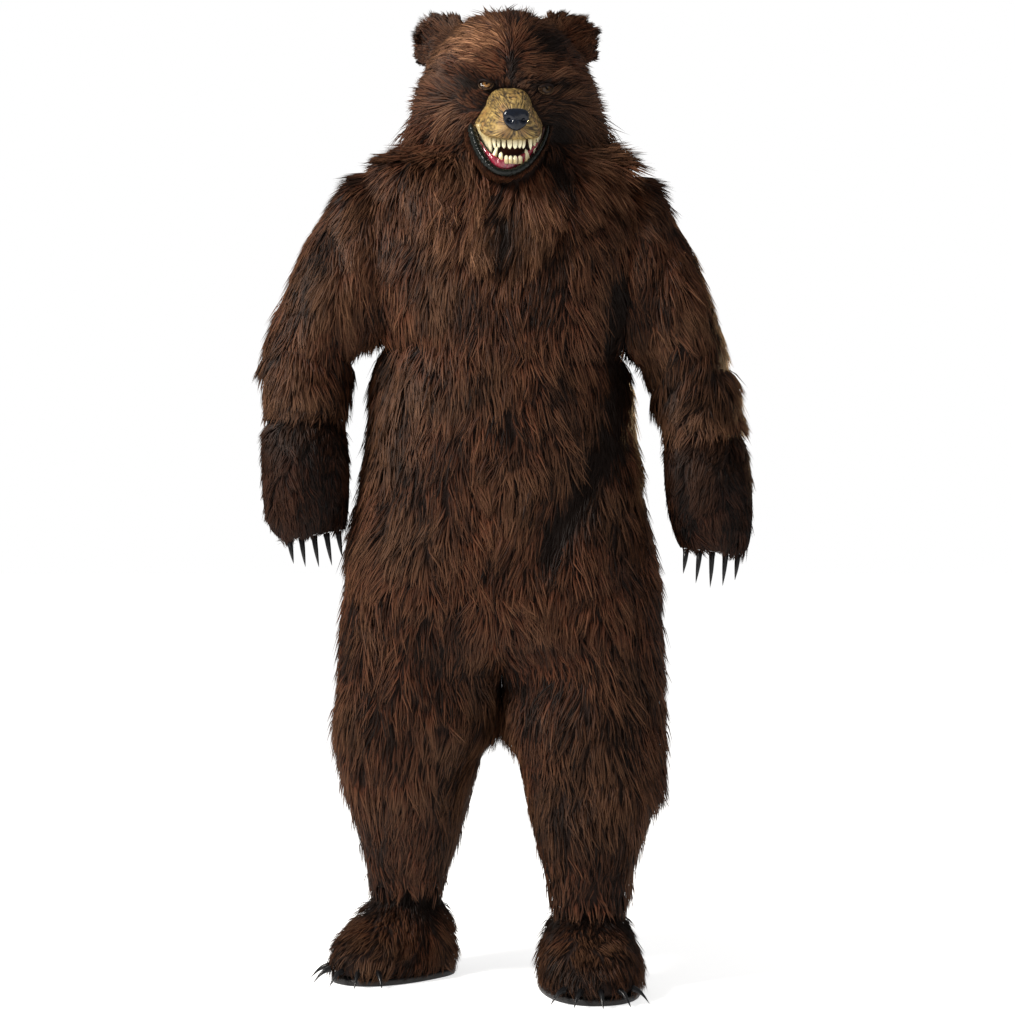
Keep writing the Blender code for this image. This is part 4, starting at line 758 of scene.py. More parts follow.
# %% Scattering and combing
def scatter(grid, inside, count, density=None):
    """Roots spread evenly over a grid, with the way out of the cloth and their share down and across.

    Cells are picked along the running total of their areas at even steps, so no spot is missed.
    """
    across = np.gradient(grid, axis=1)
    down = np.gradient(grid, axis=0)
    normal = unit(np.cross(across, down))
    normal *= np.sign(((grid - inside) * normal).sum())
    area = cell_areas(grid)
    if density is not None:
        area = area * density[:-1, :-1]
    total = np.cumsum(area.ravel())
    picks = (np.arange(count) + rng.random(count)) / count * total[-1]
    row, col = np.unravel_index(np.searchsorted(total, picks), area.shape)
    s, t = rng.random((2, count, 1))

    def blend(values):
        """Values read between the four corners of each picked cell."""
        top = values[row, col] * (1 - t) + values[row, col + 1] * t
        low = values[row + 1, col] * (1 - t) + values[row + 1, col + 1] * t
        return top * (1 - s) + low * s

    share = np.stack([(row + s[:, 0]) / area.shape[0], (col + t[:, 0]) / area.shape[1]], axis=1)
    return blend(grid), unit(blend(normal)), share


def flat_on(vectors, normal):
    """Vectors laid flat on a surface, of length one."""
    return unit(vectors - normal * (vectors * normal).sum(axis=1, keepdims=True))


RING_TURNS = np.radians([90, 210, 330])
KNEE = 0.42
FLATNESS = 0.5
SOFTNESS = 0.45
MAP_CELL_SHARE = 0.9
LOCK_FACES = np.array([(2, 1, 0), (3, 2, 0), (1, 3, 0), (1, 2, 4), (2, 3, 4), (3, 1, 4)])
LOCK_ALONG = np.array([0.0, KNEE, KNEE, KNEE, 1.0])
LOCK_ACROSS = np.array([0.5, 0.5, 0.0, 1.0, 0.5])


def lock_mesh(name, line, aside, facing, width, tone):
    """Locks joined in one mesh, each a bent body of six triangles.

    A lock has a root, three points at its knee and a tip, and line is locks by those three places.
    The knee's points lie round the line, width wide across and FLATNESS times that thick. The
    shading's normals lean towards the cloth's own, facing, so that the pile is shaded as one soft
    surface and not as thousands of hard edges. Each lock has a cell of its own in the map OFBake.
    """
    count = len(line)
    over = unit(np.cross(line[:, -1] - line[:, 0], aside))
    cosine, sine = np.cos(RING_TURNS), np.sin(RING_TURNS) * FLATNESS
    away = cosine[:, None] * aside[:, None, :] + sine[:, None] * over[:, None, :]
    knee = line[:, 1:2] + away * (width[:, None, None] / 2)
    points = np.concatenate([line[:, :1], knee, line[:, 2:]], axis=1)
    mesh = bpy.data.meshes.new(name)
    faces = LOCK_FACES[None] + len(LOCK_ALONG) * np.arange(count)[:, None, None]
    mesh.from_pydata(points.reshape(-1, 3), [], faces.reshape(-1, 3))
    keep_number(mesh, "along", np.tile(LOCK_ALONG, count))
    # Each lock's number: its own random colour together with painted shade and painted light.
    keep_number(mesh, "tone", np.repeat(tone, len(LOCK_ALONG)))
    keep_number(mesh, "across", np.tile(LOCK_ACROSS, count))
    side = math.ceil(math.sqrt(count))
    cell = np.stack([np.arange(count) % side, np.arange(count) // side], axis=1)
    third = np.arange(len(LOCK_FACES)) % 3
    is_end = (LOCK_FACES == 0) | (LOCK_FACES == 4)
    corner_round = (third[:, None] + np.where(is_end, 0.5, np.array([0.05, 0.95, 0.5])[None])) / 3
    margin = (1 - MAP_CELL_SHARE) / 2
    corner = np.stack([corner_round, LOCK_ALONG[LOCK_FACES]], axis=-1) * MAP_CELL_SHARE + margin
    uv = (cell[:, None, None, :] + corner[None]) / side
    layer = mesh.uv_layers.new(name="OFBake")
    layer.uv.foreach_set("vector", uv.astype(np.float32).ravel())
    mesh.shade_smooth()
    lean = np.concatenate([over[:, None], unit(away), over[:, None]], axis=1)
    normals = unit(SOFTNESS * facing[:, None] + (1 - SOFTNESS) * lean)
    mesh.normals_split_custom_set_from_vertices(normals.reshape(-1, 3).tolist())
    return mesh


PILE_LOW = np.array(cad_low) - np.array([0.017, 0.010, 0.0])
PILE_HIGH = np.array(cad_high) + np.array([0.017, 0.015, 0.030])


def comb_locks(name, roots, normal, way, length, width, lift, press_and_painted_shade, waves=0.5, lean_out=0.0):
    """Locks that leave the backing steeply, bend over, and lie along the way they are combed.

    The height over the backing goes as 1 - (1 - t)^2 at share t of the length, and lift scales it,
    more for some locks than for others. The tips are drawn towards the middles of large and small
    clumps, more and more along the lock. Broad waves lift some of the pile and leave the rest low,
    and the low pile gets painted shade in its colour, as the flattened pile of a crease does; where
    the flattening is below 0 it paints light instead.
    """
    count = len(roots)
    wander = drift(roots, 0.07, 3.0)
    wave = drift(roots * np.array([1.0, 1.0, 0.5]), 0.042, 41.0)[:, 0]
    raised = 0.6 + (smooth_step(-0.45, 0.45, wave) - 0.6) * waves
    large, large_tone = clump(roots, 0.050, 11.0)
    small, small_tone = clump(roots, 0.016, 23.0)
    turn = 0.45 * (large_tone - 0.5) + 0.25 * (small_tone - 0.5) + 0.09 * rng.normal(size=count)
    aside = np.cross(normal, way)
    way = flat_on(way + aside * turn[:, None] + 0.45 * wander, normal)
    aside = np.cross(normal, way)
    length = length * (0.70 + 0.3 * small_tone + 0.3 * rng.random(count))
    high = 0.20 + 0.70 * raised + 0.30 * small_tone
    high = high + 0.15 * rng.random(count) + 0.9 * rng.random(count) ** 9
    height = lift * high * (1 - 0.6 * np.clip(press_and_painted_shade, 0.0, 1.0))
    steps = np.array([0.0, KNEE, 1.0])[None, :, None]
    pull = np.zeros_like(roots)
    for centre, share in ((large, 0.35), (small, 0.45)):
        gap = centre - roots
        pull += share * (gap - normal * (gap * normal).sum(axis=1, keepdims=True))
    limit = 0.35 * length[:, None]
    pull *= np.minimum(1.0, limit / np.maximum(np.linalg.norm(pull, axis=1, keepdims=True), 1e-6))
    bow = 0.05 * rng.normal(size=(count, 1)) * length[:, None]
    line = (
        roots[:, None]
        + way[:, None] * length[:, None, None] * steps
        + normal[:, None] * height[:, None, None] * (1 - (1 - steps) ** 2)
        + pull[:, None] * steps ** 1.3
        + (aside * bow)[:, None] * np.sin(math.pi * steps)
    )
    line[..., 2] = np.maximum(line[..., 2], FLOOR + 0.004)
    line = np.clip(line, PILE_LOW, PILE_HIGH)
    # Low waves darken the lock's number as painted shade; the clumps and chance give its own colour.
    tone = 0.40 * raised + 0.08 * large_tone + 0.18 * small_tone + 0.40 * rng.random(count)
    width = width * (0.45 + 0.75 * rng.random(count))
    facing = unit(normal + lean_out * way)
    # Flattened pile is darkened as painted shade, and values below 0 brighten it as painted light.
    return lock_mesh(name, line, aside, facing, width, tone * (1 - 0.8 * press_and_painted_shade))


print("a lock has", len(LOCK_FACES), "triangles")

# %% [markdown]
# ## Finishes of the cloth
# The pile is a reddish dark brown fibre, warm brown along its length and paler at the tip; at the
# root it is painted nearly black, as painted shade where no light reaches. Locks differ from each
# other, and broad areas are darker or redder. Low and flattened pile carries painted shade, and the
# brightest locks and a few spots of the face carry painted light. The backing under it is a dark
# knit that barely shows.


# %% Fur and backing
def fur_finish(name, root, body, tip):
    """A pile's finish: a colour along each lock, varied by broad patches and by each lock's number,
    which carries its own random colour together with painted shade and painted light.
    """
    finish = Finish(name, Roughness=0.5, Specular_IOR_Level=0.10)
    along, tone, across = (finish.attribute(label) for label in ("along", "tone", "across"))
    patch = finish.noise(7.0, 1.0)
    redder = tuple(c * k for c, k in zip(body, (1.30, 0.98, 0.88)))
    colour = finish.mix(patch.within(0.42, 0.62), redder, body)
    colour = finish.mix((along - 0.35) * 1.3 * (tone * 1.6 - 0.3).within(0.0, 1.0), colour, tip)
    # Locks with a high number turn much paler: painted highlight on the brightest locks and the face's lit
    # spots.
    bright = tuple(c * 4.2 for c in tip)
    colour = finish.mix((tone - 0.86).within(0.0, 0.7) * (along * 0.6 + 0.4), colour, bright)
    # The darkest colour, which low, flattened and randomly dark locks fall towards: painted shade with own
    # variation.
    dark = tuple(c * 0.10 for c in body)
    lane = finish.node(
        "ShaderNodeCombineXYZ", "Vector", X=across * 3.5 + tone * 83.0, Y=along * 1.4, Z=tone * 47.0,
    )
    strand = finish.noise(1.0, 1.0, lane)
    shade = (tone * 1.6 + patch * 0.4 + strand * 0.5 - 1.00).within(0.0, 0.66)
    colour = finish.mix(shade, dark, colour)
    # Nearly black at the root: painted shade where no light reaches.
    finish.set("Base Color", finish.mix(along.within(0.0, 0.38), root, colour))
    return finish


fur = fur_finish("fur", (0.004, 0.002, 0.0012), (0.052, 0.0215, 0.0105), (0.110, 0.0545, 0.0280))
foot_fur = fur_finish("foot_fur", (0.003, 0.0015, 0.001), (0.047, 0.0195, 0.0094), (0.094, 0.0470, 0.0240))
dark_fur = fur_finish("dark_fur", (0.003, 0.0015, 0.001), (0.0200, 0.0080, 0.0040), (0.040, 0.0180, 0.0095))
knit = Finish("knit", Roughness=0.9, Specular_IOR_Level=0.2)
knit.set("Base Color", knit.mix(knit.noise(900.0, 1.0), (0.008, 0.004, 0.003), (0.022, 0.011, 0.008)))
knit.relief(knit.noise(1400.0, 1.0), 0.0006)

# %% [markdown]
# ## The jumpsuit
# Four body panels and four leg panels make the jumpsuit, and the pile runs down them. Over the
# shoulders it fans out, and in the folds it lies flat and is darkened as painted shade. The roots
# stand on the backing and the tips reach the solid's face or a little past it, as the outline of
# the fur does.


# %% Panels and their pile
def down_and_out(points, spread_at=0.0, spread_size=0.5):
    """A direction field for combing: down, and outwards from the centre line above a height."""
    out = np.clip((points[:, 2] - spread_at) / 0.25, 0.0, 1.0)[:, None]
    side = np.stack([points[:, 0] - CENTRE_X, 0.6 * points[:, 1], 0 * points[:, 0]], axis=1)
    return np.array([0.0, 0.0, -1.0]) + spread_size * unit(side) * (0.12 + out)


total_locks = 0
sheet_rows = []


def furred(
    name, grid, inside, count, comb, length, width, lift, finish, slot,
    density=None, press_and_painted_shade=None, keep=None, waves=0.5, lean_out=0.0,
):
    """The pile of one piece as a list of one object, a mesh of about count locks.

    keep says at which roots a lock stands, so the rest of the count is left out.
    """
    global total_locks
    roots, normal, _ = scatter(grid, inside, count, density)
    if keep:
        kept = keep(roots)
        roots, normal = roots[kept], normal[kept]
    way = flat_on(comb(roots), normal)
    sizes = (length, width, lift)
    size = [value(roots) if callable(value) else np.full(len(roots), value) for value in sizes]
    # This number flattens the pile and darkens it as painted shade; below 0 it paints light.
    low = press_and_painted_shade(roots) if press_and_painted_shade else np.zeros(len(roots))
    mesh = comb_locks(name + "_pile", roots, normal, way, *size, low, waves, lean_out)
    total_locks += len(roots)
    return [show(name + "_pile", mesh, finish, slot)]


def cut_sheet(name, grid, finish, slot, thickness=0.002):
    """A backing cloth, with its flat size kept in a list: its grid's longest rows and area."""
    piece = backing(name, grid, finish, slot, thickness)
    across = np.linalg.norm(np.diff(grid, axis=1), axis=-1).sum(axis=1).max()
    down = np.linalg.norm(np.diff(grid, axis=0), axis=-1).sum(axis=0).max()
    area = float(cell_areas(grid).sum())
    sheet_rows.append((name, across, down, area))
    return piece


LOCKS = {
    "front": 9400, "leg_front": 5000, "back": 6500, "leg_back": 3400, "sleeve": 10500,
    "mitt": 4300, "palm": 1200, "foot": 4700, "mask": 13400, "ear": 3300, "ruff": 16800, "chin": 1900,
}
LONG_LOCK, SHORT_LOCK, FACE_LOCK, FINE_LOCK = 0.0044, 0.0036, 0.0034, 0.0028
UNDER_RUFF_Z = -0.02
COVERED_DENSITY = 0.25


def panel_length(points):
    """60 mm, and 36 mm at the ankles' hems."""
    return 0.060 - 0.024 * smooth_step(-1.29, -1.36, points[:, 2])


def panel_lift(points):
    """Height of the jumpsuit's pile, lower between the thighs."""
    near_seam = smooth_step(0.10, 0.03, np.abs(points[:, 0] - CENTRE_X))
    between = near_seam * smooth_step(-1.02, -1.08, points[:, 2])
    return 0.0135 - 0.0085 * between


def in_folds(points, half):
    """How far the pile lies flat in the creases and is darkened there as painted shade, from 0 to 1."""
    faded = smooth_step(0.030, 0.120, np.abs(points[:, 0]))
    return 0.95 * faded * smooth_step(0.009, 0.020, fold_depth(points[:, 0], points[:, 2], half))


for side, half, part in itertools.product(SIGN, AHEAD, ("", "leg_")):
    name = f"{part}{half}_{side}"
    sheet_grid = panel_grid(side, half, BACKING, part)
    hidden = np.where(sheet_grid[..., 2] > UNDER_RUFF_Z, COVERED_DENSITY, 1.0)
    pile = furred(
        name, sheet_grid, panel_grid(side, half, BEHIND, part), LOCKS[part + half],
        lambda p: down_and_out(p, -0.25), panel_length, LONG_LOCK, panel_lift, fur, "fur", hidden,
        lambda p, half=half: in_folds(p, half),
    )
    cut_sheet(name, sheet_grid, knit, "fur")


def arm_lift(points):
    """Height of the sleeve's pile, lower towards the shoulder."""
    return 0.0115 - 0.0070 * smooth_step(-0.20, -0.09, points[:, 2])


for side in SIGN:
    name = "sleeve_" + side
    sheet_grid = sleeve_grid(side, BACKING)

    def along_arm(points, side=side):
        """Down, and out along the arm near the shoulder."""
        out = np.clip((points[:, 2] + 0.32) / 0.3, 0.0, 1.0)[:, None]
        return np.array([0.0, 0.0, -1.0]) + out * np.array([0.5 * SIGN[side], 0.0, 0.0])

    def arm_length(points, hem=SLEEVE[side]["out_z"][-1]):
        """58 mm, and 32 mm at the cuff."""
        return 0.058 - 0.026 * smooth_step(hem + 0.08, hem + 0.01, points[:, 2])

    pile = furred(
        name, sheet_grid, sleeve_grid(side, BEHIND), LOCKS["sleeve"],
        along_arm, arm_length, LONG_LOCK, arm_lift, fur, "fur",
    )
    cut_sheet(name, sheet_grid, knit, "fur")
print("jumpsuit:", total_locks, "locks")

# %% [markdown]
# ## Mitts and foot covers
# The mitts and foot covers carry a shorter, darker pile. The mitt's palm and the sole are black
# hide and rubber, and each ends in five claws. A claw is a row of rings that shrink along a bowed
# line to a blunt point, with a swollen collar where it leaves the pile.


# %% Mitts and foot covers
def plain_down(points):
    """Straight down."""
    return np.array([0.0, 0.0, -1.0]) + 0 * points


hide = Finish("black_hide", Roughness=0.5, Specular_IOR_Level=0.25)
grain = hide.node("ShaderNodeTexVoronoi", "Distance", Vector=hide.place(), Scale=420.0)
hide.set("Base Color", hide.mix(hide.noise(24.0), (0.006, 0.0055, 0.0055), (0.020, 0.018, 0.018)))
hide.set("Roughness", 0.34 + hide.noise(60.0) * 0.26)
hide.relief(grain * 0.6 + hide.noise(45.0) * 1.2, 0.0008)

MITT_LENGTH, MITT_LIFT = 0.031, 0.0085
FOOT_LENGTH = 0.036
for side in SIGN:
    name = "mitt_" + side
    sheet_grid = mitt_grid(side, "front", BACKING)
    row = np.arange(len(sheet_grid))[:, None]
    covered = np.where(row < 4, COVERED_DENSITY, 1.0) + 0 * sheet_grid[..., 0]
    pile = furred(
        name, sheet_grid, mitt_grid(side, "front", BEHIND), LOCKS["mitt"],
        plain_down, MITT_LENGTH, SHORT_LOCK, MITT_LIFT, dark_fur, "dark_fur", covered,
    )
    cut_sheet(name, sheet_grid, knit, "dark_fur")
    name = "palm_" + side
    sheet_grid = mitt_grid(side, "back", 0.001)
    cuff = np.where(row < 8, 1.0, 0.0) + 0 * sheet_grid[..., 0]
    pile = furred(
        name, mitt_grid(side, "back", BACKING), mitt_grid(side, "back", BEHIND), LOCKS["palm"],
        plain_down, MITT_LENGTH, SHORT_LOCK, MITT_LIFT, dark_fur, "dark_fur", cuff,
    )
    cut_sheet(name, sheet_grid, hide, "black_hide")
    name = "foot_" + side
    sheet_grid = foot_grid(side, BACKING)
    ankle = np.array([FOOT[side]["x"], FOOT[side]["y"], FOOT[side]["hem"]])

    def over_toes(points, ankle=ankle):
        """Down the ankle, then out over the foot and down its sides."""
        away = (points - ankle) * np.array([1.0, 1.0, 0.0])
        low = np.clip((ankle[2] - points[:, 2]) / 0.12, 0.0, 1.0)[:, None]
        return np.array([0.0, 0.0, -1.0]) + 1.4 * low * unit(away)

    def off_the_claws(points, foot=FOOT[side]):
        """True where no toe claw leaves the pile: not low in front of the toes."""
        toes = math.radians(foot["toes"])
        ahead = (points[:, 0] - foot["x"]) * math.sin(toes) - (points[:, 1] - foot["y"]) * math.cos(toes)
        return (ahead < 0.125) | (points[:, 2] > FLOOR + 0.034)

    def round_ankle(points, hem=FOOT[side]["hem"]):
        """1 round the ankle, under the leg's hem, and 0 on the foot."""
        return smooth_step(hem - 0.060, hem - 0.020, points[:, 2])

    # Round the ankle, under the leg's hem, the pile is darkened as painted shade.
    pile = furred(
        name, sheet_grid, foot_grid(side, BEHIND), LOCKS["foot"],
        over_toes, FOOT_LENGTH, SHORT_LOCK, lambda p: 0.0100 + 0.0120 * round_ankle(p),
        foot_fur, "dark_fur", press_and_painted_shade=lambda p: 0.62 * round_ankle(p), keep=off_the_claws,
    )
    cut_sheet(name, sheet_grid, knit, "dark_fur")
print("with mitts and foot covers:", total_locks, "locks")

# %% [markdown]
# ## The face's frame
# The muzzle, the nose and the mouth are turned a little to the viewer's right. They are worked out
# as aside, ahead and height in a frame of their own, which is then turned and set on the mask.

# %% The face's frame
FACE_X = -0.0145
FACE_YAW = math.radians(6.0)
FACE_DEPTH = 0.150
SEAM_GAP = 0.0003
MUZZLE_END = 0.262
MUZZLE_SPREAD = 0.9
MOUTH_HALF, MOUTH_BACK, MOUTH_CORNER_Z = 0.073, 0.160, 0.056
JAW_REACH, JAW_DROP, JAW_SHIFT = 0.066, 0.100, -0.013
EYES = {"left": (-0.0414, 0.1315), "right": (0.0715, 0.1250)}


def face_point(aside, ahead, z):
    """Points given in the face's own frame, turned by its yaw and set on the mask."""
    x = FACE_X + aside * math.cos(FACE_YAW) + ahead * math.sin(FACE_YAW)
    y = aside * math.sin(FACE_YAW) - ahead * math.cos(FACE_YAW)
    return np.stack(np.broadcast_arrays(x, y, z), axis=-1)


def face_seat(aside, z, clearance):
    """How far ahead a point has to be to lie on the mask, or on the ruff below it."""
    ahead = np.full(np.broadcast(aside, z).shape, FACE_DEPTH)
    low = HEAD["z"][0]
    for _ in range(4):
        x = face_point(aside, ahead, z)[..., 0]
        ahead = (head_front(x, np.maximum(z, low)) + aside * math.sin(FACE_YAW)) / math.cos(FACE_YAW)
    below = np.clip(low - z, 0.0, None)
    step = 0.0018 * np.minimum(below / 0.008, 1.0)
    return ahead + clearance + below * (0.330 + 26.0 * aside ** 2) + step


def jaw_curve(turn, inward):
    """The lower lip's line: aside goes as the cosine of the turn, ahead as its sine."""
    sine = np.sin(turn)
    aside = -(MOUTH_HALF - inward) * np.cos(turn) + JAW_SHIFT * sine ** 2
    ahead = MOUTH_BACK + (JAW_REACH - inward) * sine
    return aside, ahead, MOUTH_CORNER_Z - (JAW_DROP - inward) * sine ** 1.3


def tube_mesh(name, rings):
    """Closed round bodies from rings of points (body, ring, point), with both ends filled."""
    bodies, levels, columns = rings.shape[:3]
    corner = np.arange(bodies * levels * columns).reshape(bodies, levels, columns)
    after = np.roll(corner, -1, axis=2)
    sides = np.stack([corner[:, :-1], after[:, :-1], after[:, 1:], corner[:, 1:]], axis=-1).reshape(-1, 4)
    caps = np.concatenate([corner[:, 0, ::-1], corner[:, -1]])
    mesh = bpy.data.meshes.new(name)
    mesh.from_pydata(rings.reshape(-1, 3), [], [*sides.tolist(), *caps.tolist()])
    return face_outwards(mesh)


# %% [markdown]
# ## Muzzle and nose
# The muzzle is a moulded form that imitates short hair: ridges that run back from the nose, up
# over the bridge and out over the cheeks, with a fine groove between each two. A smooth random
# field that is stretched along the muzzle gives them: its absolute value is round where the field
# swells and sharp where it crosses zero. The same number tints the hollows.

# %% The muzzle
ROUND_COLUMNS, MUZZLE_ROWS = 221, 96


def muzzle_rings(t, angle, inset):
    """An egg-shaped section at share t: narrow above, full below, rounded off towards the end."""
    end = (1 - np.clip(t, 0.0, 0.999) ** 7) ** 0.45
    below = smooth_step(0.2, -0.5, np.cos(angle))
    sine, cosine = np.sin(angle), np.cos(angle)
    jowl = 0.68 + 0.47 * smooth_step(0.25, -0.65, cosine)
    wide = squared(sine, 0.60 + 0.12 * below) * jowl
    aside = ((0.0635 - 0.018 * t) * end - inset) * wide
    middle, height = 0.0845 - 0.043 * t, (0.0390 + 0.001 * t) * end - inset
    flews = 0.006 * below * sine ** 2 * end
    z = middle + height * squared(cosine, 1.0 - 0.38 * below) - flews
    start = face_seat(aside, z, SEAM_GAP)
    return face_point(aside, start + (MUZZLE_END - inset - start) * t ** MUZZLE_SPREAD, z)


def hair_relief(t, angle):
    """Ridges along the muzzle from 0 in the grooves to 1 on their backs, two sizes together."""
    round_way = np.stack(np.broadcast_arrays(np.sin(angle), np.cos(angle), t), axis=-1)
    broad = drift((round_way * np.array([12.0, 12.0, 5.5])).reshape(-1, 3), 1.0, 5.0)[:, 0]
    fine = drift((round_way * np.array([25.0, 25.0, 10.0])).reshape(-1, 3), 1.0, 9.0)[:, 1]
    mixed = 0.6 * np.abs(broad) ** 0.6 + 0.6 * np.abs(fine) ** 0.6
    return mixed.reshape(np.broadcast(t, angle).shape)


angle = np.linspace(0, 2 * math.pi, ROUND_COLUMNS)[None, :]
t = np.sin(np.linspace(0, math.pi / 2, MUZZLE_ROWS))[:, None] ** 0.9
ridges = hair_relief(t, angle)
skin = muzzle_rings(t, angle, 0.0)
out = unit(np.cross(np.gradient(skin, axis=1), np.gradient(skin, axis=0)))
out *= np.sign((out * (skin - skin.mean(axis=1, keepdims=True))).sum())
fade = smooth_step(0.0, 0.05, t) * smooth_step(1.0, 0.9, t)
skin = skin + out * ((ridges - 0.65) * 0.0036 * fade)[..., None]
inner_t = np.linspace(0.0, 0.9, 5)[::-1, None]
inner = muzzle_rings(inner_t, angle, 0.004)
tips = [np.broadcast_to(rows.mean(axis=1, keepdims=True), rows.shape) for rows in (inner[:1], skin[-1:])]
whole = np.concatenate([tips[0], inner, skin, tips[1]])
inside_rows = np.zeros((1 + len(inner), ROUND_COLUMNS))
ridge_rows = np.concatenate([inside_rows, ridges, ridges[-1:]])
muzzle_mesh = grid_mesh("muzzle_skin", whole, 0.00002, 0.00001, ridge=ridge_rows)

ochre = Finish("muzzle", Roughness=0.52, Specular_IOR_Level=0.4)
ridge = ochre.attribute("ridge")
patches = ochre.noise(38.0, 3.0)
rust = ochre.noise(26.0, 2.0).within(0.52, 0.68)
tan = ochre.mix(patches.within(0.3, 0.7), (0.235, 0.142, 0.037), (0.40, 0.270, 0.084))
tan = ochre.mix(rust * 0.55, tan, (0.24, 0.095, 0.030))
on_ridge = (ridge + ochre.noise(420.0, 2.0) * 0.25).within(0.42, 0.95)
ochre.set("Base Color", ochre.mix(on_ridge, (0.026, 0.015, 0.005), tan))
ochre.set("Roughness", 0.62 - ridge * 0.22)
ochre.relief(ochre.noise(950.0, 3.0), 0.0009)
show("muzzle_skin", muzzle_mesh, ochre, "muzzle", "muzzle")
print("muzzle", len(muzzle_mesh.polygons), "faces")

# %% [markdown]
# The nose is a rounded block, flat on top and pointed below, that shines like wet leather. Its
# outline is a squared oval whose width shrinks downwards, its front is a dome, and two commas are
# pressed in for the nostrils.

# %% The nose
NOSE_Z, NOSE_HALF_WIDTH, NOSE_HALF_HEIGHT, NOSE_DEPTH = 0.047, 0.0275, 0.0200, 0.0262


angle = around(72)[None]
share = np.linspace(0, 1, 34)[:, None]
size = np.where(share < 0.45, 0.90 + 0.10 * np.sin(share / 0.45 * math.pi / 2), 0.0)
size = np.where(share >= 0.45, np.cos((share - 0.45) / 0.55 * math.pi / 2) ** 0.62, size)
up, wide = squared(np.cos(angle), 0.72), squared(np.sin(angle), 0.72)
aside = NOSE_HALF_WIDTH * size * wide * (0.84 + 0.16 * up)
z = NOSE_Z + NOSE_HALF_HEIGHT * size * up * np.where(up < 0, 1.08 - 0.25 * np.abs(wide), 1.0)
ahead = MUZZLE_END - 0.004 + (NOSE_DEPTH + 0.004) * np.sin(share * math.pi / 2) ** 0.9
for sign in (-1, 1):
    nostril_x = sign * (0.0135 + 0.10 * (z - NOSE_Z))
    comma = np.hypot((aside - nostril_x) / 0.0062, (z - NOSE_Z + 0.002) / 0.0050)
    ahead = ahead - 0.0075 * np.exp(-comma ** 2 * 1.4) * smooth_step(0.35, 0.6, share)
groove = np.exp(-(aside / 0.0016) ** 2) * smooth_step(0.0, -0.5, up) * smooth_step(0.5, 0.8, share)
ahead = ahead - 0.0016 * groove
rings = face_point(aside, ahead, z)
wet_black = Finish("nose", Roughness=0.13, Specular_IOR_Level=0.22, Coat_Weight=0.15, Coat_Roughness=0.05)
nose_colours = (0.0015, 0.002, 0.004), (0.006, 0.009, 0.017)
wet_black.set("Base Color", wet_black.mix(wet_black.noise(120.0), *nose_colours))
pebble = wet_black.node("ShaderNodeTexVoronoi", "Distance", Vector=wet_black.place(), Scale=620.0)
wet_black.relief(pebble, 0.0004, 0.35)
show("nose_leather", tube_mesh("nose_leather", rings[None]), wet_black, "nose", "nose")

# %% [markdown]
# ## Eyes
# Each eye is a glossy dome on the mask, painted amber round a dark pupil, inside a pale lid: a ring
# that is thick below and thin above, as a moulded lid is. The iris is a mix by the distance from
# the pupil's middle, so it needs no picture.

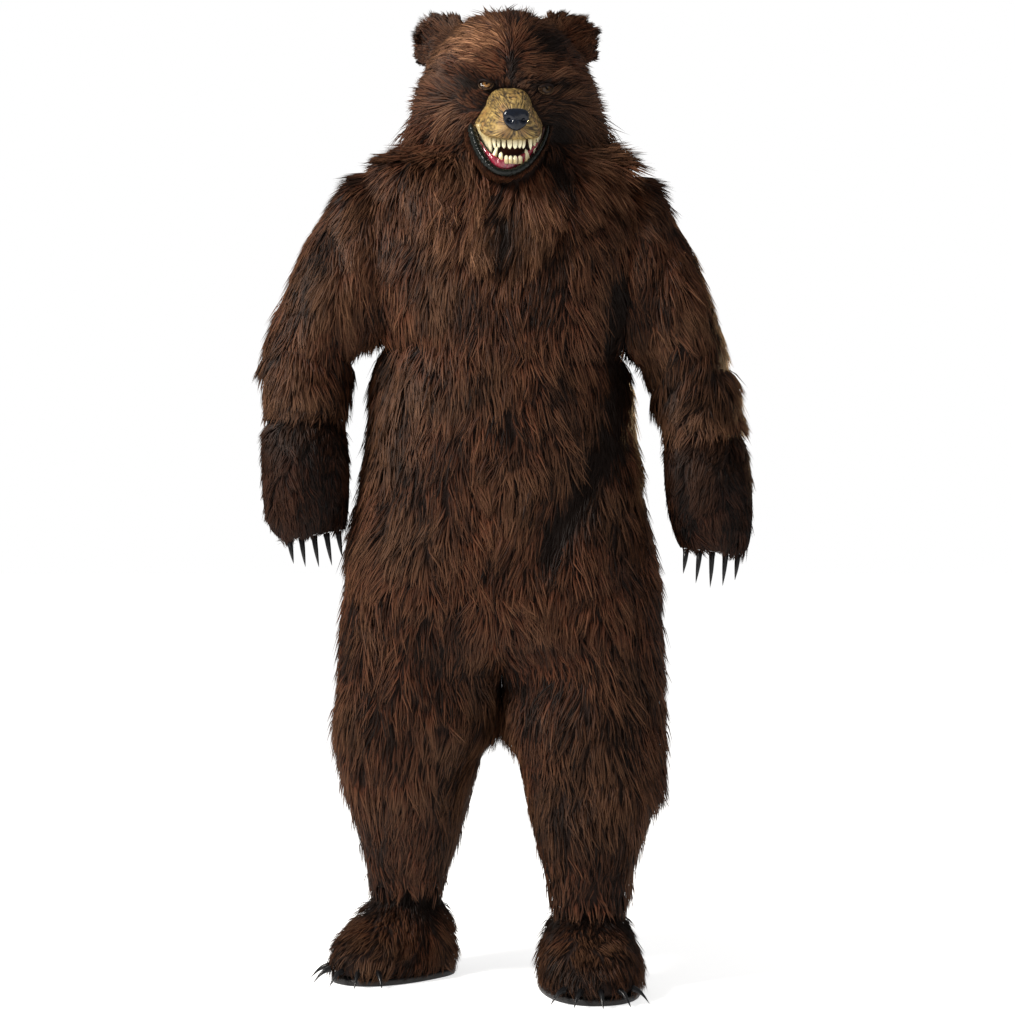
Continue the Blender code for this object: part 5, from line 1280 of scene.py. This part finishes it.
# %% Eyes and lids
EYE_HALF_WIDTH, EYE_HALF_HEIGHT, EYE_DEPTH = 0.0135, 0.0100, 0.0070
lid_skin = Finish("eyelid", Roughness=0.6, Specular_IOR_Level=0.10)
pale = lid_skin.mix(lid_skin.noise(260.0).within(0.35, 0.65), (0.014, 0.007, 0.004), (0.080, 0.046, 0.023))
lid_skin.set("Base Color", lid_skin.mix(lid_skin.attribute("upper"), pale, (0.008, 0.004, 0.003)))
lid_skin.relief(lid_skin.noise(700.0), 0.0004)
for side, (eye_x, eye_z) in EYES.items():
    angle = around(48)[None]
    share = np.linspace(0, 1, 14)[:, None]
    size = np.cos(share * math.pi / 2 * 0.97)
    reach_x, reach_z = EYE_HALF_WIDTH * np.cos(angle), EYE_HALF_HEIGHT * np.sin(angle)
    edge = head_front(eye_x + reach_x, eye_z + reach_z)
    x, z = eye_x + reach_x * size, eye_z + reach_z * size
    y = -(edge + SEAM_GAP) - 0.001 - EYE_DEPTH * np.sin(share * math.pi / 2)
    ball = tube_mesh(f"eye_{side}_ball", np.stack([x, y + 0 * x, z + 0 * x], axis=-1)[None])
    glass = Finish(
        f"eye_{side}", Roughness=0.10, Specular_IOR_Level=0.15, Coat_Weight=0.05, Coat_Roughness=0.03,
    )
    across = glass.node("ShaderNodeSeparateXYZ", "X", Vector=glass.place()) - (eye_x + 0.0012)
    height = glass.node("ShaderNodeSeparateXYZ", "Z", Vector=glass.place()) - (eye_z + 0.0004)
    away = (across ** 2 + height ** 2) ** 0.5
    rays = glass.noise(900.0, 2.0)
    # The right eye's colours are darkened to about a fifth: painted shade under the brow.
    shade = 1.0 if side == "left" else 0.22
    amber = [tuple(c * shade for c in colour) for colour in ((0.075, 0.032, 0.009), (0.240, 0.120, 0.034))]
    iris = glass.mix(rays.within(0.3, 0.7), *amber)
    iris = glass.mix(away.within(0.0024, 0.0032), (0.002, 0.0015, 0.001), iris)
    iris = glass.mix(away.within(0.0066, 0.0076), iris, (0.018, 0.009, 0.005))
    glass.set("Base Color", glass.mix(away.within(0.0080, 0.0092), iris, (0.022, 0.012, 0.007)))
    show(f"eye_{side}_ball", ball, glass, "eye", f"eye_{side}")
    lid_turn = around(64)
    upper = smooth_step(-0.15, 0.35, np.sin(lid_turn))
    thick = 0.0009 + 0.0006 * smooth_step(0.3, -0.8, np.sin(lid_turn)) + 0.0024 * upper * np.sin(lid_turn)
    rim_x = eye_x + (EYE_HALF_WIDTH + 0.0004) * np.cos(lid_turn)
    lowered = upper * np.sin(lid_turn) * (0.0050 + 0.34 * SIGN[side] * (eye_x - rim_x))
    rim_z = eye_z + (EYE_HALF_HEIGHT + 0.0002) * np.sin(lid_turn) - lowered
    rim_y = -head_front(rim_x, rim_z) - 0.0022 - 0.8 * thick - 0.0045 * upper * np.sin(lid_turn)
    middle = np.stack([rim_x, rim_y, rim_z], axis=-1)
    outward = np.stack([np.cos(lid_turn), 0 * lid_turn, np.sin(lid_turn)], axis=-1)
    round_turn = around(12)
    loop = (
        middle[:, None] + (thick[:, None] * np.cos(round_turn))[..., None] * outward[:, None]
        + (1.5 * thick[:, None] * np.sin(round_turn))[..., None] * np.array([0.0, 1.0, 0.0])
    )
    loop = np.concatenate([loop, loop[:1]])
    loop = np.concatenate([loop, loop[:, :1]], axis=1)
    lid = grid_mesh(f"eye_{side}_lid", loop)
    points = np.array([vertex.co for vertex in lid.vertices])
    keep_number(lid, "upper", smooth_step(-0.002, 0.002, points[:, 2] - eye_z))
    show(f"eye_{side}_lid", lid, lid_skin, "eye")


# %% [markdown]
# ## Teeth
# Each tooth is a short body of oval rings between its root in the muzzle or the gum and its tip. A
# blunt one keeps its width down to a rounded end, as an incisor does, and a sharp one tapers, as a
# canine does. One table holds a jaw's teeth, and they are one mesh. The ivory is darker at the
# roots, where colour gathers on a moulded tooth.

# %% Teeth
TOOTH_LEVELS, TOOTH_SIDES = 10, 14
TOOTH_NAMES = "aside ahead root tip_aside tip width blunt"
UPPER_TEETH = table(
    TOOTH_NAMES,
    (-0.0254, 0.2181, 0.024, -0.0250, 0.0030, 0.0074, 0.75),
    (-0.0170, 0.2270, 0.024, -0.0168, 0.0005, 0.0086, 0.85),
    (-0.0067, 0.2325, 0.024, -0.0066, -0.0010, 0.0098, 0.90),
    (0.0032, 0.2334, 0.024, 0.0032, -0.0010, 0.0098, 0.90),
    (0.0123, 0.2302, 0.024, 0.0121, 0.0005, 0.0086, 0.85),
    (0.0202, 0.2242, 0.024, 0.0196, 0.0010, 0.0074, 0.75),
    (0.0315, 0.2120, 0.030, 0.0343, 0.0005, 0.0108, 0.25),
    (-0.0326, 0.2070, 0.030, -0.0310, 0.0015, 0.0110, 0.25),
    (-0.0585, 0.1760, 0.052, -0.0470, 0.0120, 0.0150, 0.35),
    (-0.0520, 0.1810, 0.044, -0.0430, 0.0035, 0.0150, 0.35),
    (-0.0470, 0.1870, 0.038, -0.0405, -0.0010, 0.0145, 0.35),
    (-0.0405, 0.1970, 0.032, -0.0370, -0.0045, 0.0140, 0.35),
    (0.0420, 0.1970, 0.032, 0.0425, -0.0071, 0.0095, 0.20),
    (0.0500, 0.1860, 0.038, 0.0480, 0.0080, 0.0100, 0.30),
    (0.0560, 0.1760, 0.044, 0.0520, 0.0200, 0.0100, 0.30),
)
LOWER_TEETH = table(
    TOOTH_NAMES,
    (-0.0211, 0.2165, -0.0240, -0.0211, -0.0046, 0.0086, 0.85),
    (-0.0113, 0.2190, -0.0270, -0.0113, -0.0105, 0.0080, 0.85),
    (-0.0035, 0.2195, -0.0270, -0.0035, -0.0108, 0.0080, 0.85),
    (0.0050, 0.2185, -0.0270, 0.0050, -0.0108, 0.0086, 0.85),
    (0.0141, 0.2150, -0.0265, 0.0141, -0.0097, 0.0092, 0.85),
    (-0.0352, 0.2095, -0.0210, -0.0267, 0.0074, 0.0122, 0.30),
    (0.0290, 0.2085, -0.0250, 0.0258, 0.0033, 0.0112, 0.50),
)


def face_way(aside, ahead):
    """A direction given in the face's own frame, level."""
    return face_point(aside, ahead, 0.0) - face_point(0.0, 0.0, 0.0)


def tooth_rings(teeth):
    """Rings of a jaw's teeth: width falls to a point as a power of the share, and ends round."""
    root = face_point(teeth["aside"], teeth["ahead"], teeth["root"])
    tip = face_point(teeth["tip_aside"], teeth["ahead"] - 0.001, teeth["tip"])
    outward = unit(face_way(teeth["aside"], teeth["ahead"] - MOUTH_BACK))
    across = np.cross(outward, np.array([0.0, 0.0, 1.0]))
    share = np.linspace(0, 1, TOOTH_LEVELS)[None, :]
    taper = 1 - (1 - teeth["blunt"][:, None]) * 0.85 * share ** 1.4
    size = teeth["width"][:, None] / 2 * taper * np.sqrt(1 - 0.985 * share ** 7)
    centre = root[:, None] + (tip - root)[:, None] * share[..., None]
    centre = centre + outward[:, None] * (0.0016 * np.sin(math.pi * share))[..., None]
    turns = around(TOOTH_SIDES)
    cosine, sine = squared(np.cos(turns), 0.75), squared(np.sin(turns), 0.75) * 0.72
    ring = cosine[:, None] * across[:, None, None, :] + sine[:, None] * outward[:, None, None, :]
    return centre[:, :, None, :] + ring * size[..., None, None]


for name, teeth in (("upper", UPPER_TEETH), ("lower", LOWER_TEETH)):
    mesh = tube_mesh("teeth_" + name + "_ivory", tooth_rings(teeth))
    shape = (len(teeth["aside"]), TOOTH_LEVELS, TOOTH_SIDES)
    share = np.broadcast_to(np.linspace(0, 1, TOOTH_LEVELS)[None, :, None], shape)
    keep_number(mesh, "along", share)
    ivory = Finish(
        "ivory_" + name, Roughness=0.24, Specular_IOR_Level=0.5, Coat_Weight=0.3, Coat_Roughness=0.1,
    )
    along = ivory.attribute("along")
    stain = (1 - along.within(0.30, 0.75)) * 0.75 + ivory.noise(210.0).within(0.55, 0.8) * 0.35
    ivory.set("Base Color", ivory.mix(stain, (0.76, 0.70, 0.47), (0.36, 0.25, 0.085)))
    ivory.relief(ivory.noise(520.0), 0.0003)
    show("teeth_" + name + "_ivory", mesh, ivory, "tooth", "teeth_" + name)
print("teeth:", len(UPPER_TEETH["aside"]), "above and", len(LOWER_TEETH["aside"]), "below")

# %% [markdown]
# ## Gum, lips, lining and chin
# These follow the jaw's line, each moved inwards by what lies outside it. The gum is a band with a
# swelling under each tooth, wet and raspberry red. The lips are a black rope whose thickness
# wanders and which is creased across, as a drawn-back lip is. Behind the teeth a dark sheet closes
# the mouth, and under the lips the chin's cloth carries a short pile.

# %% Gum and lips
GUM_CLOTH, GUM_HEIGHT, GUM_START = 0.005, 0.017, 0.62
CHIN_CLOTH, CHIN_START = 0.010, 0.10
CLEAR = CHIN_CLOTH / 2 + 2 * SEAM_GAP
turn = np.linspace(GUM_START, math.pi - GUM_START, 120)[:, None]
angle = around(18)[None]
aside, ahead, z = jaw_curve(turn, CLEAR + GUM_CLOTH / 2)
swelling = 0.5 + 0.5 * np.abs(np.sin(turn * 11.5 + 0.6)) ** 0.7
high = GUM_HEIGHT / 2 * np.sin(turn)
push = 0.0034 * swelling * np.sin(angle) * (1 + 0.35 * np.cos(angle))
ends = np.sqrt(np.clip(np.sin((turn - GUM_START) / (math.pi - 2 * GUM_START) * math.pi), 0.02, 1.0)) ** 0.5
gum_z = z + high + (high + 0.002 * swelling) * np.cos(angle) * ends
gum_rings = face_point(aside - push * np.cos(turn), ahead + push * np.sin(turn), gum_z)
raspberry = Finish("gum", Roughness=0.16, Specular_IOR_Level=0.6, Coat_Weight=0.8, Coat_Roughness=0.06)
blotch = raspberry.noise(95.0).within(0.35, 0.65)
raspberry.set("Base Color", raspberry.mix(blotch, (0.13, 0.006, 0.016), (0.32, 0.024, 0.050)))
raspberry.relief(raspberry.noise(230.0, 2.0), 0.0016)
show("gum_band", tube_mesh("gum_band", gum_rings[None]), raspberry, "gum", "gum")

LIP_RADIUS, LIP_START = 0.005, 0.06
turn = np.linspace(LIP_START, math.pi - LIP_START, 200)
middle = face_point(*jaw_curve(turn, 0.0))
forward = unit(np.gradient(middle, axis=0))
aside_way = unit(np.cross(forward, np.array([0.0, 1.0, 0.0])))
up_way = np.cross(aside_way, forward)
wider = 1.05 + 0.60 * np.exp(-((turn - 0.55) / 0.50) ** 2) + 0.25 * np.exp(-((turn - 1.55) / 0.45) ** 2)
creases = 0.10 * np.abs(np.sin(turn * 27 + 1.5 * np.sin(turn * 5))) + 0.05 * np.sin(turn * 61)
taper = smooth_step(0.0, 0.25, turn) * smooth_step(math.pi, math.pi - 0.25, turn) * 0.6 + 0.4
size = LIP_RADIUS * wider * (0.96 + creases) * taper * (1 - 0.45 * smooth_step(2.0, 2.8, turn))
angle = around(20)
ring = (
    np.cos(angle)[:, None] * aside_way[:, None]
    + (np.sin(angle) * (1 + 0.18 * np.sin(3 * angle)))[:, None] * up_way[:, None]
)
lip_rings = middle[:, None] + ring * size[:, None, None]
black_lip = Finish("lip", Roughness=0.18, Specular_IOR_Level=0.12, Coat_Weight=0.10, Coat_Roughness=0.06)
lip_colours = (0.002, 0.0025, 0.0025), (0.008, 0.010, 0.008)
black_lip.set("Base Color", black_lip.mix(black_lip.noise(70.0), *lip_colours))
black_lip.relief(black_lip.noise(300.0, 2.0), 0.0007)
show("lips_rope", tube_mesh("lips_rope", lip_rings[None]), black_lip, "lip", "lips")

# %% Mouth lining and chin
LINING_CLOTH, LINING_BACK, LINING_HOLLOW = 0.004, 0.018, 0.020
turn = np.linspace(CHIN_START, math.pi - CHIN_START, 41)[:, None]
share = np.linspace(0, 1, 16)[None, :]
sine = np.sin(turn)
low_aside, low_ahead, low_z = jaw_curve(turn, CLEAR)
low_ahead = low_ahead - LINING_BACK * sine
top_aside, top_ahead, top_z = -0.032 * np.cos(turn), 0.162 + 0.050 * sine, 0.040 - 0.022 * sine
hollow = LINING_HOLLOW * np.sin(math.pi * share) * sine
lining = face_point(
    top_aside + (low_aside - top_aside) * share,
    top_ahead + (low_ahead - top_ahead) * share - hollow,
    top_z + (low_z - top_z) * share,
)
palate = Finish("mouth", Roughness=0.3, Specular_IOR_Level=0.5, Coat_Weight=0.4, Coat_Roughness=0.15)
palate.set("Base Color", palate.mix(palate.noise(60.0), (0.030, 0.008, 0.005), (0.075, 0.024, 0.014)))
palate.relief(palate.noise(160.0), 0.0014)
lining_mesh = grid_mesh("mouth_lining_sheet", lining)
lining_piece = show("mouth_lining_sheet", lining_mesh, palate, "mouth", "mouth_lining")
solid = lining_piece.modifiers.new("thickness", "SOLIDIFY")
solid.thickness = LINING_CLOTH * 0.75
solid.offset = -1

turn = np.linspace(CHIN_START, math.pi - CHIN_START, 41)[:, None]
share = np.linspace(0, 1, 9)[None, :]


def chin_grid(inward):
    """The chin's trough, from the mask's face or the ruff forward to the back of the lips."""
    lip_line = jaw_curve(turn, 0.0)[1]
    aside, _, z = jaw_curve(turn, inward)
    back = face_seat(aside, z, 2 * SEAM_GAP)
    front = np.maximum(lip_line - LIP_RADIUS * 0.8, back + 0.001)
    return face_point(aside, back + (front - back) * share, z)


def under_chin(points):
    """Backwards and down, away from the lips."""
    return np.array([0.0, 0.75, -0.7]) + 0.5 * (points - points.mean(axis=0)) / 0.07

# %% [markdown]
# ## The mask's pile
# On the mask the pile radiates from the muzzle. On the forehead it parts in the middle and sweeps
# to both sides like curtains, over the cheeks it runs out and down, and behind it hangs. It is
# short round the eyes and long at the cheeks. Two raised ridges make the angry brow. Round the eyes,
# along the parting, on the right of the forehead and beside the mouth the pile lies flat and
# carries painted shade, and on the left of the forehead and the left cheek it carries painted light.

# %% Directions and sizes of the face's pile
FACE = np.array([0.002, -0.165, 0.085])
PARTING_X = 0.006
BROW = {"left": ((-0.082, 0.156), (-0.004, 0.119)), "right": ((0.098, 0.150), (0.022, 0.117))}


def in_front(points):
    """1 on the face and 0 behind the ears."""
    return smooth_step(0.02, -0.07, points[:, 1])


def spot(points, x, z, wide, high):
    """A soft round spot on the face, 1 in its middle."""
    away = np.hypot((points[:, 0] - x) / wide, (points[:, 2] - z) / high)
    return np.exp(-away ** 2) * in_front(points)


def brow(points):
    """1 along the brow's two ridges and 0 away from them."""
    near = np.full(len(points), np.inf)
    for start, end in BROW.values():
        near = np.minimum(near, from_line(points[:, 0], points[:, 2], *start, *end))
    return np.exp(-(near / 0.013) ** 2) * in_front(points)


def over_face(points):
    """Away from the muzzle, parted on the forehead, down on the cheeks and behind the ears."""
    away = unit(points - FACE)
    aside = np.tanh((points[:, 0] - PARTING_X) / 0.015)
    front = in_front(points)
    forehead = front * smooth_step(0.125, 0.165, points[:, 2]) * smooth_step(0.30, 0.24, points[:, 2])
    cheek = front * smooth_step(0.050, 0.110, np.abs(points[:, 0])) * smooth_step(0.150, 0.060, points[:, 2])
    way = away + np.stack([1.5 * forehead * aside, 0 * aside, -0.25 * forehead - 0.75 * cheek], axis=1)
    crown = smooth_step(0.215, 0.275, points[:, 2])[:, None]
    rim = smooth_step(0.105, 0.045, points[:, 2]) * smooth_step(0.060, 0.100, np.abs(points[:, 0]))
    way = way - 1.1 * rim[:, None] * np.array([0.0, 0.0, 1.0])
    return way + (1 - front)[:, None] * np.array([0.0, 0.0, -1.5]) + crown * np.array([0.0, 1.6, -0.9])


def face_length(points):
    """13 mm at the muzzle's edge, 36 on the forehead, 62 on the cheeks and behind, 88 at the rim."""
    away = np.linalg.norm(points - FACE, axis=1)
    cheek = smooth_step(0.075, 0.135, np.abs(points[:, 0])) * smooth_step(0.190, 0.100, points[:, 2])
    long = np.maximum(cheek, 1 - in_front(points))
    rim = smooth_step(0.100, 0.045, points[:, 2]) * long
    usual = 0.013 + 0.023 * smooth_step(0.055, 0.120, away)
    return usual + 0.026 * long * smooth_step(0.22, 0.12, points[:, 2]) + 0.026 * rim


def face_lift(points):
    """Height of the face's pile: low round the muzzle, high on the brow, shaggy at the low cheeks."""
    away = np.linalg.norm(points - FACE, axis=1)
    shaggy = smooth_step(0.105, 0.150, np.abs(points[:, 0])) * smooth_step(0.115, 0.050, points[:, 2])
    shaggy = shaggy * np.where(points[:, 0] > 0, 0.050, 0.040)
    crown = smooth_step(0.225, 0.280, points[:, 2])
    return 0.006 + 0.006 * smooth_step(0.055, 0.150, away) + 0.015 * brow(points) + shaggy + 0.004 * crown


def in_shadow(points):
    """Where the face's pile lies flat and carries painted shade, and, below 0, where it carries painted
    light.
    """
    dark = 0.85 * spot(points, 0.058, 0.215, 0.042, 0.032)
    for x, z, wide, high, deep in (
        (0.086, 0.036, 0.026, 0.050, 1.0), (-0.066, 0.132, 0.016, 0.012, 0.9),
        (-0.024, 0.122, 0.014, 0.010, 0.9), (0.050, 0.126, 0.016, 0.012, 1.0),
        (0.090, 0.126, 0.018, 0.014, 0.8), (PARTING_X, 0.160, 0.005, 0.034, 0.9),
        (PARTING_X, 0.225, 0.004, 0.050, 0.7), (-0.070, 0.020, 0.012, 0.035, 0.6),
    ):
        dark = np.maximum(dark, deep * spot(points, x, z, wide, high))
    # Painted light on the left of the forehead and on the left cheek.
    lit = spot(points, -0.045, 0.215, 0.055, 0.040)
    return dark - 1.5 * lit - 0.4 * spot(points, -0.115, 0.085, 0.045, 0.060)


EYE_BARE = (("left", 0.0135, 0.0095), ("right", 0.0115, 0.0070))
MUZZLE_OUTLINE = table(
    "z half",
    (0.046, 0.052), (0.061, 0.063), (0.081, 0.054), (0.100, 0.041), (0.115, 0.034), (0.1235, 0.020),
)


def off_the_face(points):
    """True where no moulded piece covers the pile: outside the muzzle, the mouth and the eyes."""
    x, z = points[:, 0], points[:, 2]
    half = read(MUZZLE_OUTLINE, "half", "z", z)
    muzzle = (np.abs(x - 0.003) < half - 0.004) & (z > 0.046) & (z < 0.1215)
    mouth = (np.hypot((x - 0.000) / 0.078, (z - 0.056) / 0.106) < 1) & (z < 0.060)
    covered = muzzle | mouth
    for side, wide, high in EYE_BARE:
        eye_x, eye_z = EYES[side]
        covered = covered | (np.hypot((x - eye_x) / wide, (z - eye_z) / high) < 1)
    return ~(covered & (points[:, 1] < 0))


# %% Mask, ears, ruff and chin
def ear_length(points):
    """10 mm, and 29 mm on the outer part of the ear's top."""
    outer = smooth_step(0.090, 0.130, np.abs(points[:, 0]))
    return 0.010 + 0.019 * smooth_step(0.220, 0.262, points[:, 2]) * outer


for side in SIGN:
    name = "mask_" + side
    sheet_grid = mask_grid(side, BACKING)
    pile = furred(
        name, sheet_grid, mask_grid(side, BEHIND), LOCKS["mask"],
        over_face, face_length, FACE_LOCK, face_lift, fur, "fur",
        press_and_painted_shade=in_shadow, keep=off_the_face, waves=0.2,
    )
    cut_sheet(name, sheet_grid, knit, "fur")
    name = "ear_" + side
    faces = [ear_grid(side, face, 0.006, 0.016) for face in (-1, 1)]
    sheet_grid = np.concatenate([faces[0], faces[1][-2::-1]])
    middle = 0.5 * (faces[0] + faces[1])
    middle = np.concatenate([middle, middle[-2::-1]])
    root = np.array([HEAD_X + SIGN[side] * 0.092, 0.012, 0.222])
    pile = furred(
        name, sheet_grid, middle, LOCKS["ear"],
        lambda p, root=root, side=side: unit(p - root) + np.array([0.75 * SIGN[side], -0.2, 0.25]),
        ear_length, FINE_LOCK, 0.008, fur, "fur", waves=0.1, lean_out=1.6,
    )
    cut_sheet(name, sheet_grid, knit, "fur", 0.0015)


def in_ruff_valleys(points):
    """Painted shade in the V under the chin and in the hollow beside the mouth, and the rest of the ruff
    made a little lighter.
    """
    v = np.exp(-(points[:, 0] / (0.010 + 0.20 * np.clip(-0.03 - points[:, 2], 0.0, 0.2))) ** 2)
    front = smooth_step(0.0, -0.08, points[:, 1])
    valley = 0.75 * v * front * smooth_step(-0.045, -0.075, points[:, 2])
    return valley + 0.8 * spot(points, 0.09, -0.01, 0.03, 0.04) - 0.22


def ruff_lift(points):
    """Height of the ruff's pile, proud at the sides of the neck and most on the right."""
    neck = smooth_step(0.13, 0.18, np.abs(points[:, 0])) * smooth_step(-0.045, 0.000, points[:, 2])
    low = smooth_step(-0.01, -0.05, points[:, 2]) * smooth_step(0.15, 0.22, np.abs(points[:, 0]))
    return 0.017 + neck * np.where(points[:, 0] > 0, 0.008, 0.000) - 0.008 * low


def ruff_length(points):
    """70 mm, and 42 mm where the ruff lies on the shoulders."""
    return 0.070 - 0.028 * smooth_step(-0.040, 0.000, points[:, 2])


sheet_grid = ruff_grid(BACKING)
pile = furred(
    "ruff", sheet_grid, ruff_grid(BEHIND), LOCKS["ruff"],
    lambda p: down_and_out(p, -0.15, 0.85), ruff_length, LONG_LOCK, ruff_lift, fur, "fur",
    press_and_painted_shade=in_ruff_valleys, keep=off_the_face,
)
cut_sheet("ruff", sheet_grid, knit, "fur")
pile = furred(
    "chin", chin_grid(-CHIN_CLOTH / 2), chin_grid(CHIN_CLOTH / 2), LOCKS["chin"],
    under_chin, 0.022, FINE_LOCK, 0.006, fur, "fur",
)
cut_sheet("chin", chin_grid(-CHIN_CLOTH / 2 + 0.002), knit, "fur")
print("all pile:", total_locks, "locks")

# %% [markdown]
# ## Claws and soles
# A claw is a row of rings that shrink along a bowed line, with a swollen collar where it leaves the
# pile. One function makes the ten claws of the mitts and the ten of the toes. The soles are rubber
# slabs in the foot's own outline, with a rounded edge and a flat underside.

# %% Claws and soles
MITT_CLAWS = {
    "left": table(
        "along dx dz",
        (0.12, 0.008, -0.046), (0.31, 0.008, -0.056), (0.51, 0.010, -0.061), (0.71, 0.011, -0.062),
        (0.90, 0.008, -0.050),
    ),
    "right": table(
        "along dx dz",
        (0.10, -0.006, -0.050), (0.29, -0.006, -0.063), (0.50, -0.004, -0.069), (0.69, -0.008, -0.063),
        (0.90, -0.006, -0.047),
    ),
}
CLAW_RADIUS, CLAW_BOW, CLAW_LEVELS = 0.0062, 0.006, 16
TOE_STEP = 18.0
TOE_TURNS = np.radians(TOE_STEP * np.arange(-2, 3))
TOE_RING = (0.190, 0.085, 0.097, 0.028)
TOE_REACH, TOE_TIP_HEIGHT = 0.036, 0.003
SOLE_FRONT, SOLE_BACK, SOLE_HALF = 0.182, 0.082, 0.094
SOLE_EDGE = table(
    "height inset",
    (0.0, 0.0022), (0.0006, 0.0006), (0.0030, 0.0), (0.0085, 0.0), (0.0110, 0.0010), (0.0117, 0.0030),
)
horn = Finish("claw", Roughness=0.28, Specular_IOR_Level=0.2, Coat_Weight=0.1, Coat_Roughness=0.1)
horn.set("Base Color", horn.mix(horn.noise(160.0), (0.002, 0.002, 0.0025), (0.008, 0.0075, 0.008)))
horn.relief(horn.noise(260.0), 0.0004)


def claw_rings(base, tip, across, bow_way):
    """Rings of one claw: the size falls as 1 - 0.96 share^1.9, and the line bows as a sine."""
    share = np.linspace(0, 1, CLAW_LEVELS)[:, None, None]
    size = (1 - 0.96 * share ** 1.9) * (0.90 + 0.16 * np.exp(-((share - 0.07) / 0.06) ** 2))
    turns = around(16)
    ring = np.cos(turns)[:, None] * across + np.sin(turns)[:, None] * bow_way
    line = base + (tip - base) * share + bow_way * CLAW_BOW * np.sin(math.pi * share)
    return line + ring[None] * (CLAW_RADIUS * size)


for side in SIGN:
    end = {name: column[-1] for name, column in MITT[side].items()}
    outer_end = np.array([end["out_x"], end["mid"], end["out_z"]])
    inner_end = np.array([end["in_x"], end["mid"], end["in_z"]])
    across = unit(inner_end - outer_end)
    down = np.cross(across, np.array([0.0, 1.0, 0.0]))
    down = down * -np.sign(down[2])
    for number, (along, dx, dz) in enumerate(zip(*MITT_CLAWS[side].values()), start=1):
        base = outer_end + (inner_end - outer_end) * along + down * SEAM_GAP
        rings = claw_rings(base, base + np.array([dx, -0.004, dz]), across, np.array([0.0, -1.0, 0.0]))
        name = f"mitt_claw_{side}_{number}"
        show(name + "_horn", tube_mesh(name + "_horn", rings[None]), horn, "claw", name)
    foot = FOOT[side]
    for number, turn in enumerate(TOE_TURNS, start=1):
        near = foot_ring(foot, *TOE_RING, turn + np.radians([-TOE_STEP, 0.0, TOE_STEP]))
        across = unit(near[2] - near[0])
        out = np.array([across[1], -across[0], 0.0])
        from_heel = near[1] - np.array([foot["x"], foot["y"], near[1, 2]])
        out = out * np.sign((out * from_heel).sum())
        base = near[1] + out * SEAM_GAP
        tip = base + out * TOE_REACH
        tip[2] = FLOOR + TOE_TIP_HEIGHT
        name = f"toe_claw_{side}_{number}"
        rings = claw_rings(base, tip, across, np.array([0.0, 0.0, 1.0]))
        show(name + "_horn", tube_mesh(name + "_horn", rings[None]), horn, "claw", name)
    turns = around(96)
    levels = [
        foot_ring(foot, SOLE_FRONT - inset, SOLE_BACK - inset, SOLE_HALF - inset, height, turns)
        for height, inset in zip(*SOLE_EDGE.values())
    ]
    name = "sole_" + side
    show(name + "_rubber", tube_mesh(name + "_rubber", np.array(levels)[None]), hide, "black_hide", name)
print("claws:", 4 * len(TOE_TURNS))

# %% [markdown]
# ## Floor
# A plain pale floor under the soles.

# %% Floor
floor_mesh = bpy.data.meshes.new("floor")
FLOOR_HALF = 30.0
floor_mesh.from_pydata(
    [(x * FLOOR_HALF, y * FLOOR_HALF, FLOOR - 0.0005) for x, y in ((-1, -1), (1, -1), (1, 1), (-1, 1))],
    [], [(0, 1, 2, 3)],
)
floor = bpy.data.objects.new("floor", floor_mesh)
pale = Finish(
    "pale_floor", Base_Color=(0.92, 0.92, 0.91), Roughness=0.7,
    Emission_Color=(1.0, 1.0, 1.0), Emission_Strength=0.68,
)
floor_mesh.materials.append(pale.material)
scene.collection.objects.link(floor)

# %% Sizes and finish
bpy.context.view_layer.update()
for name, across, down, area in sheet_rows:
    print(f"sheet {name}: {across:.3f} by {down:.3f} m, {area:.3f} square metres")
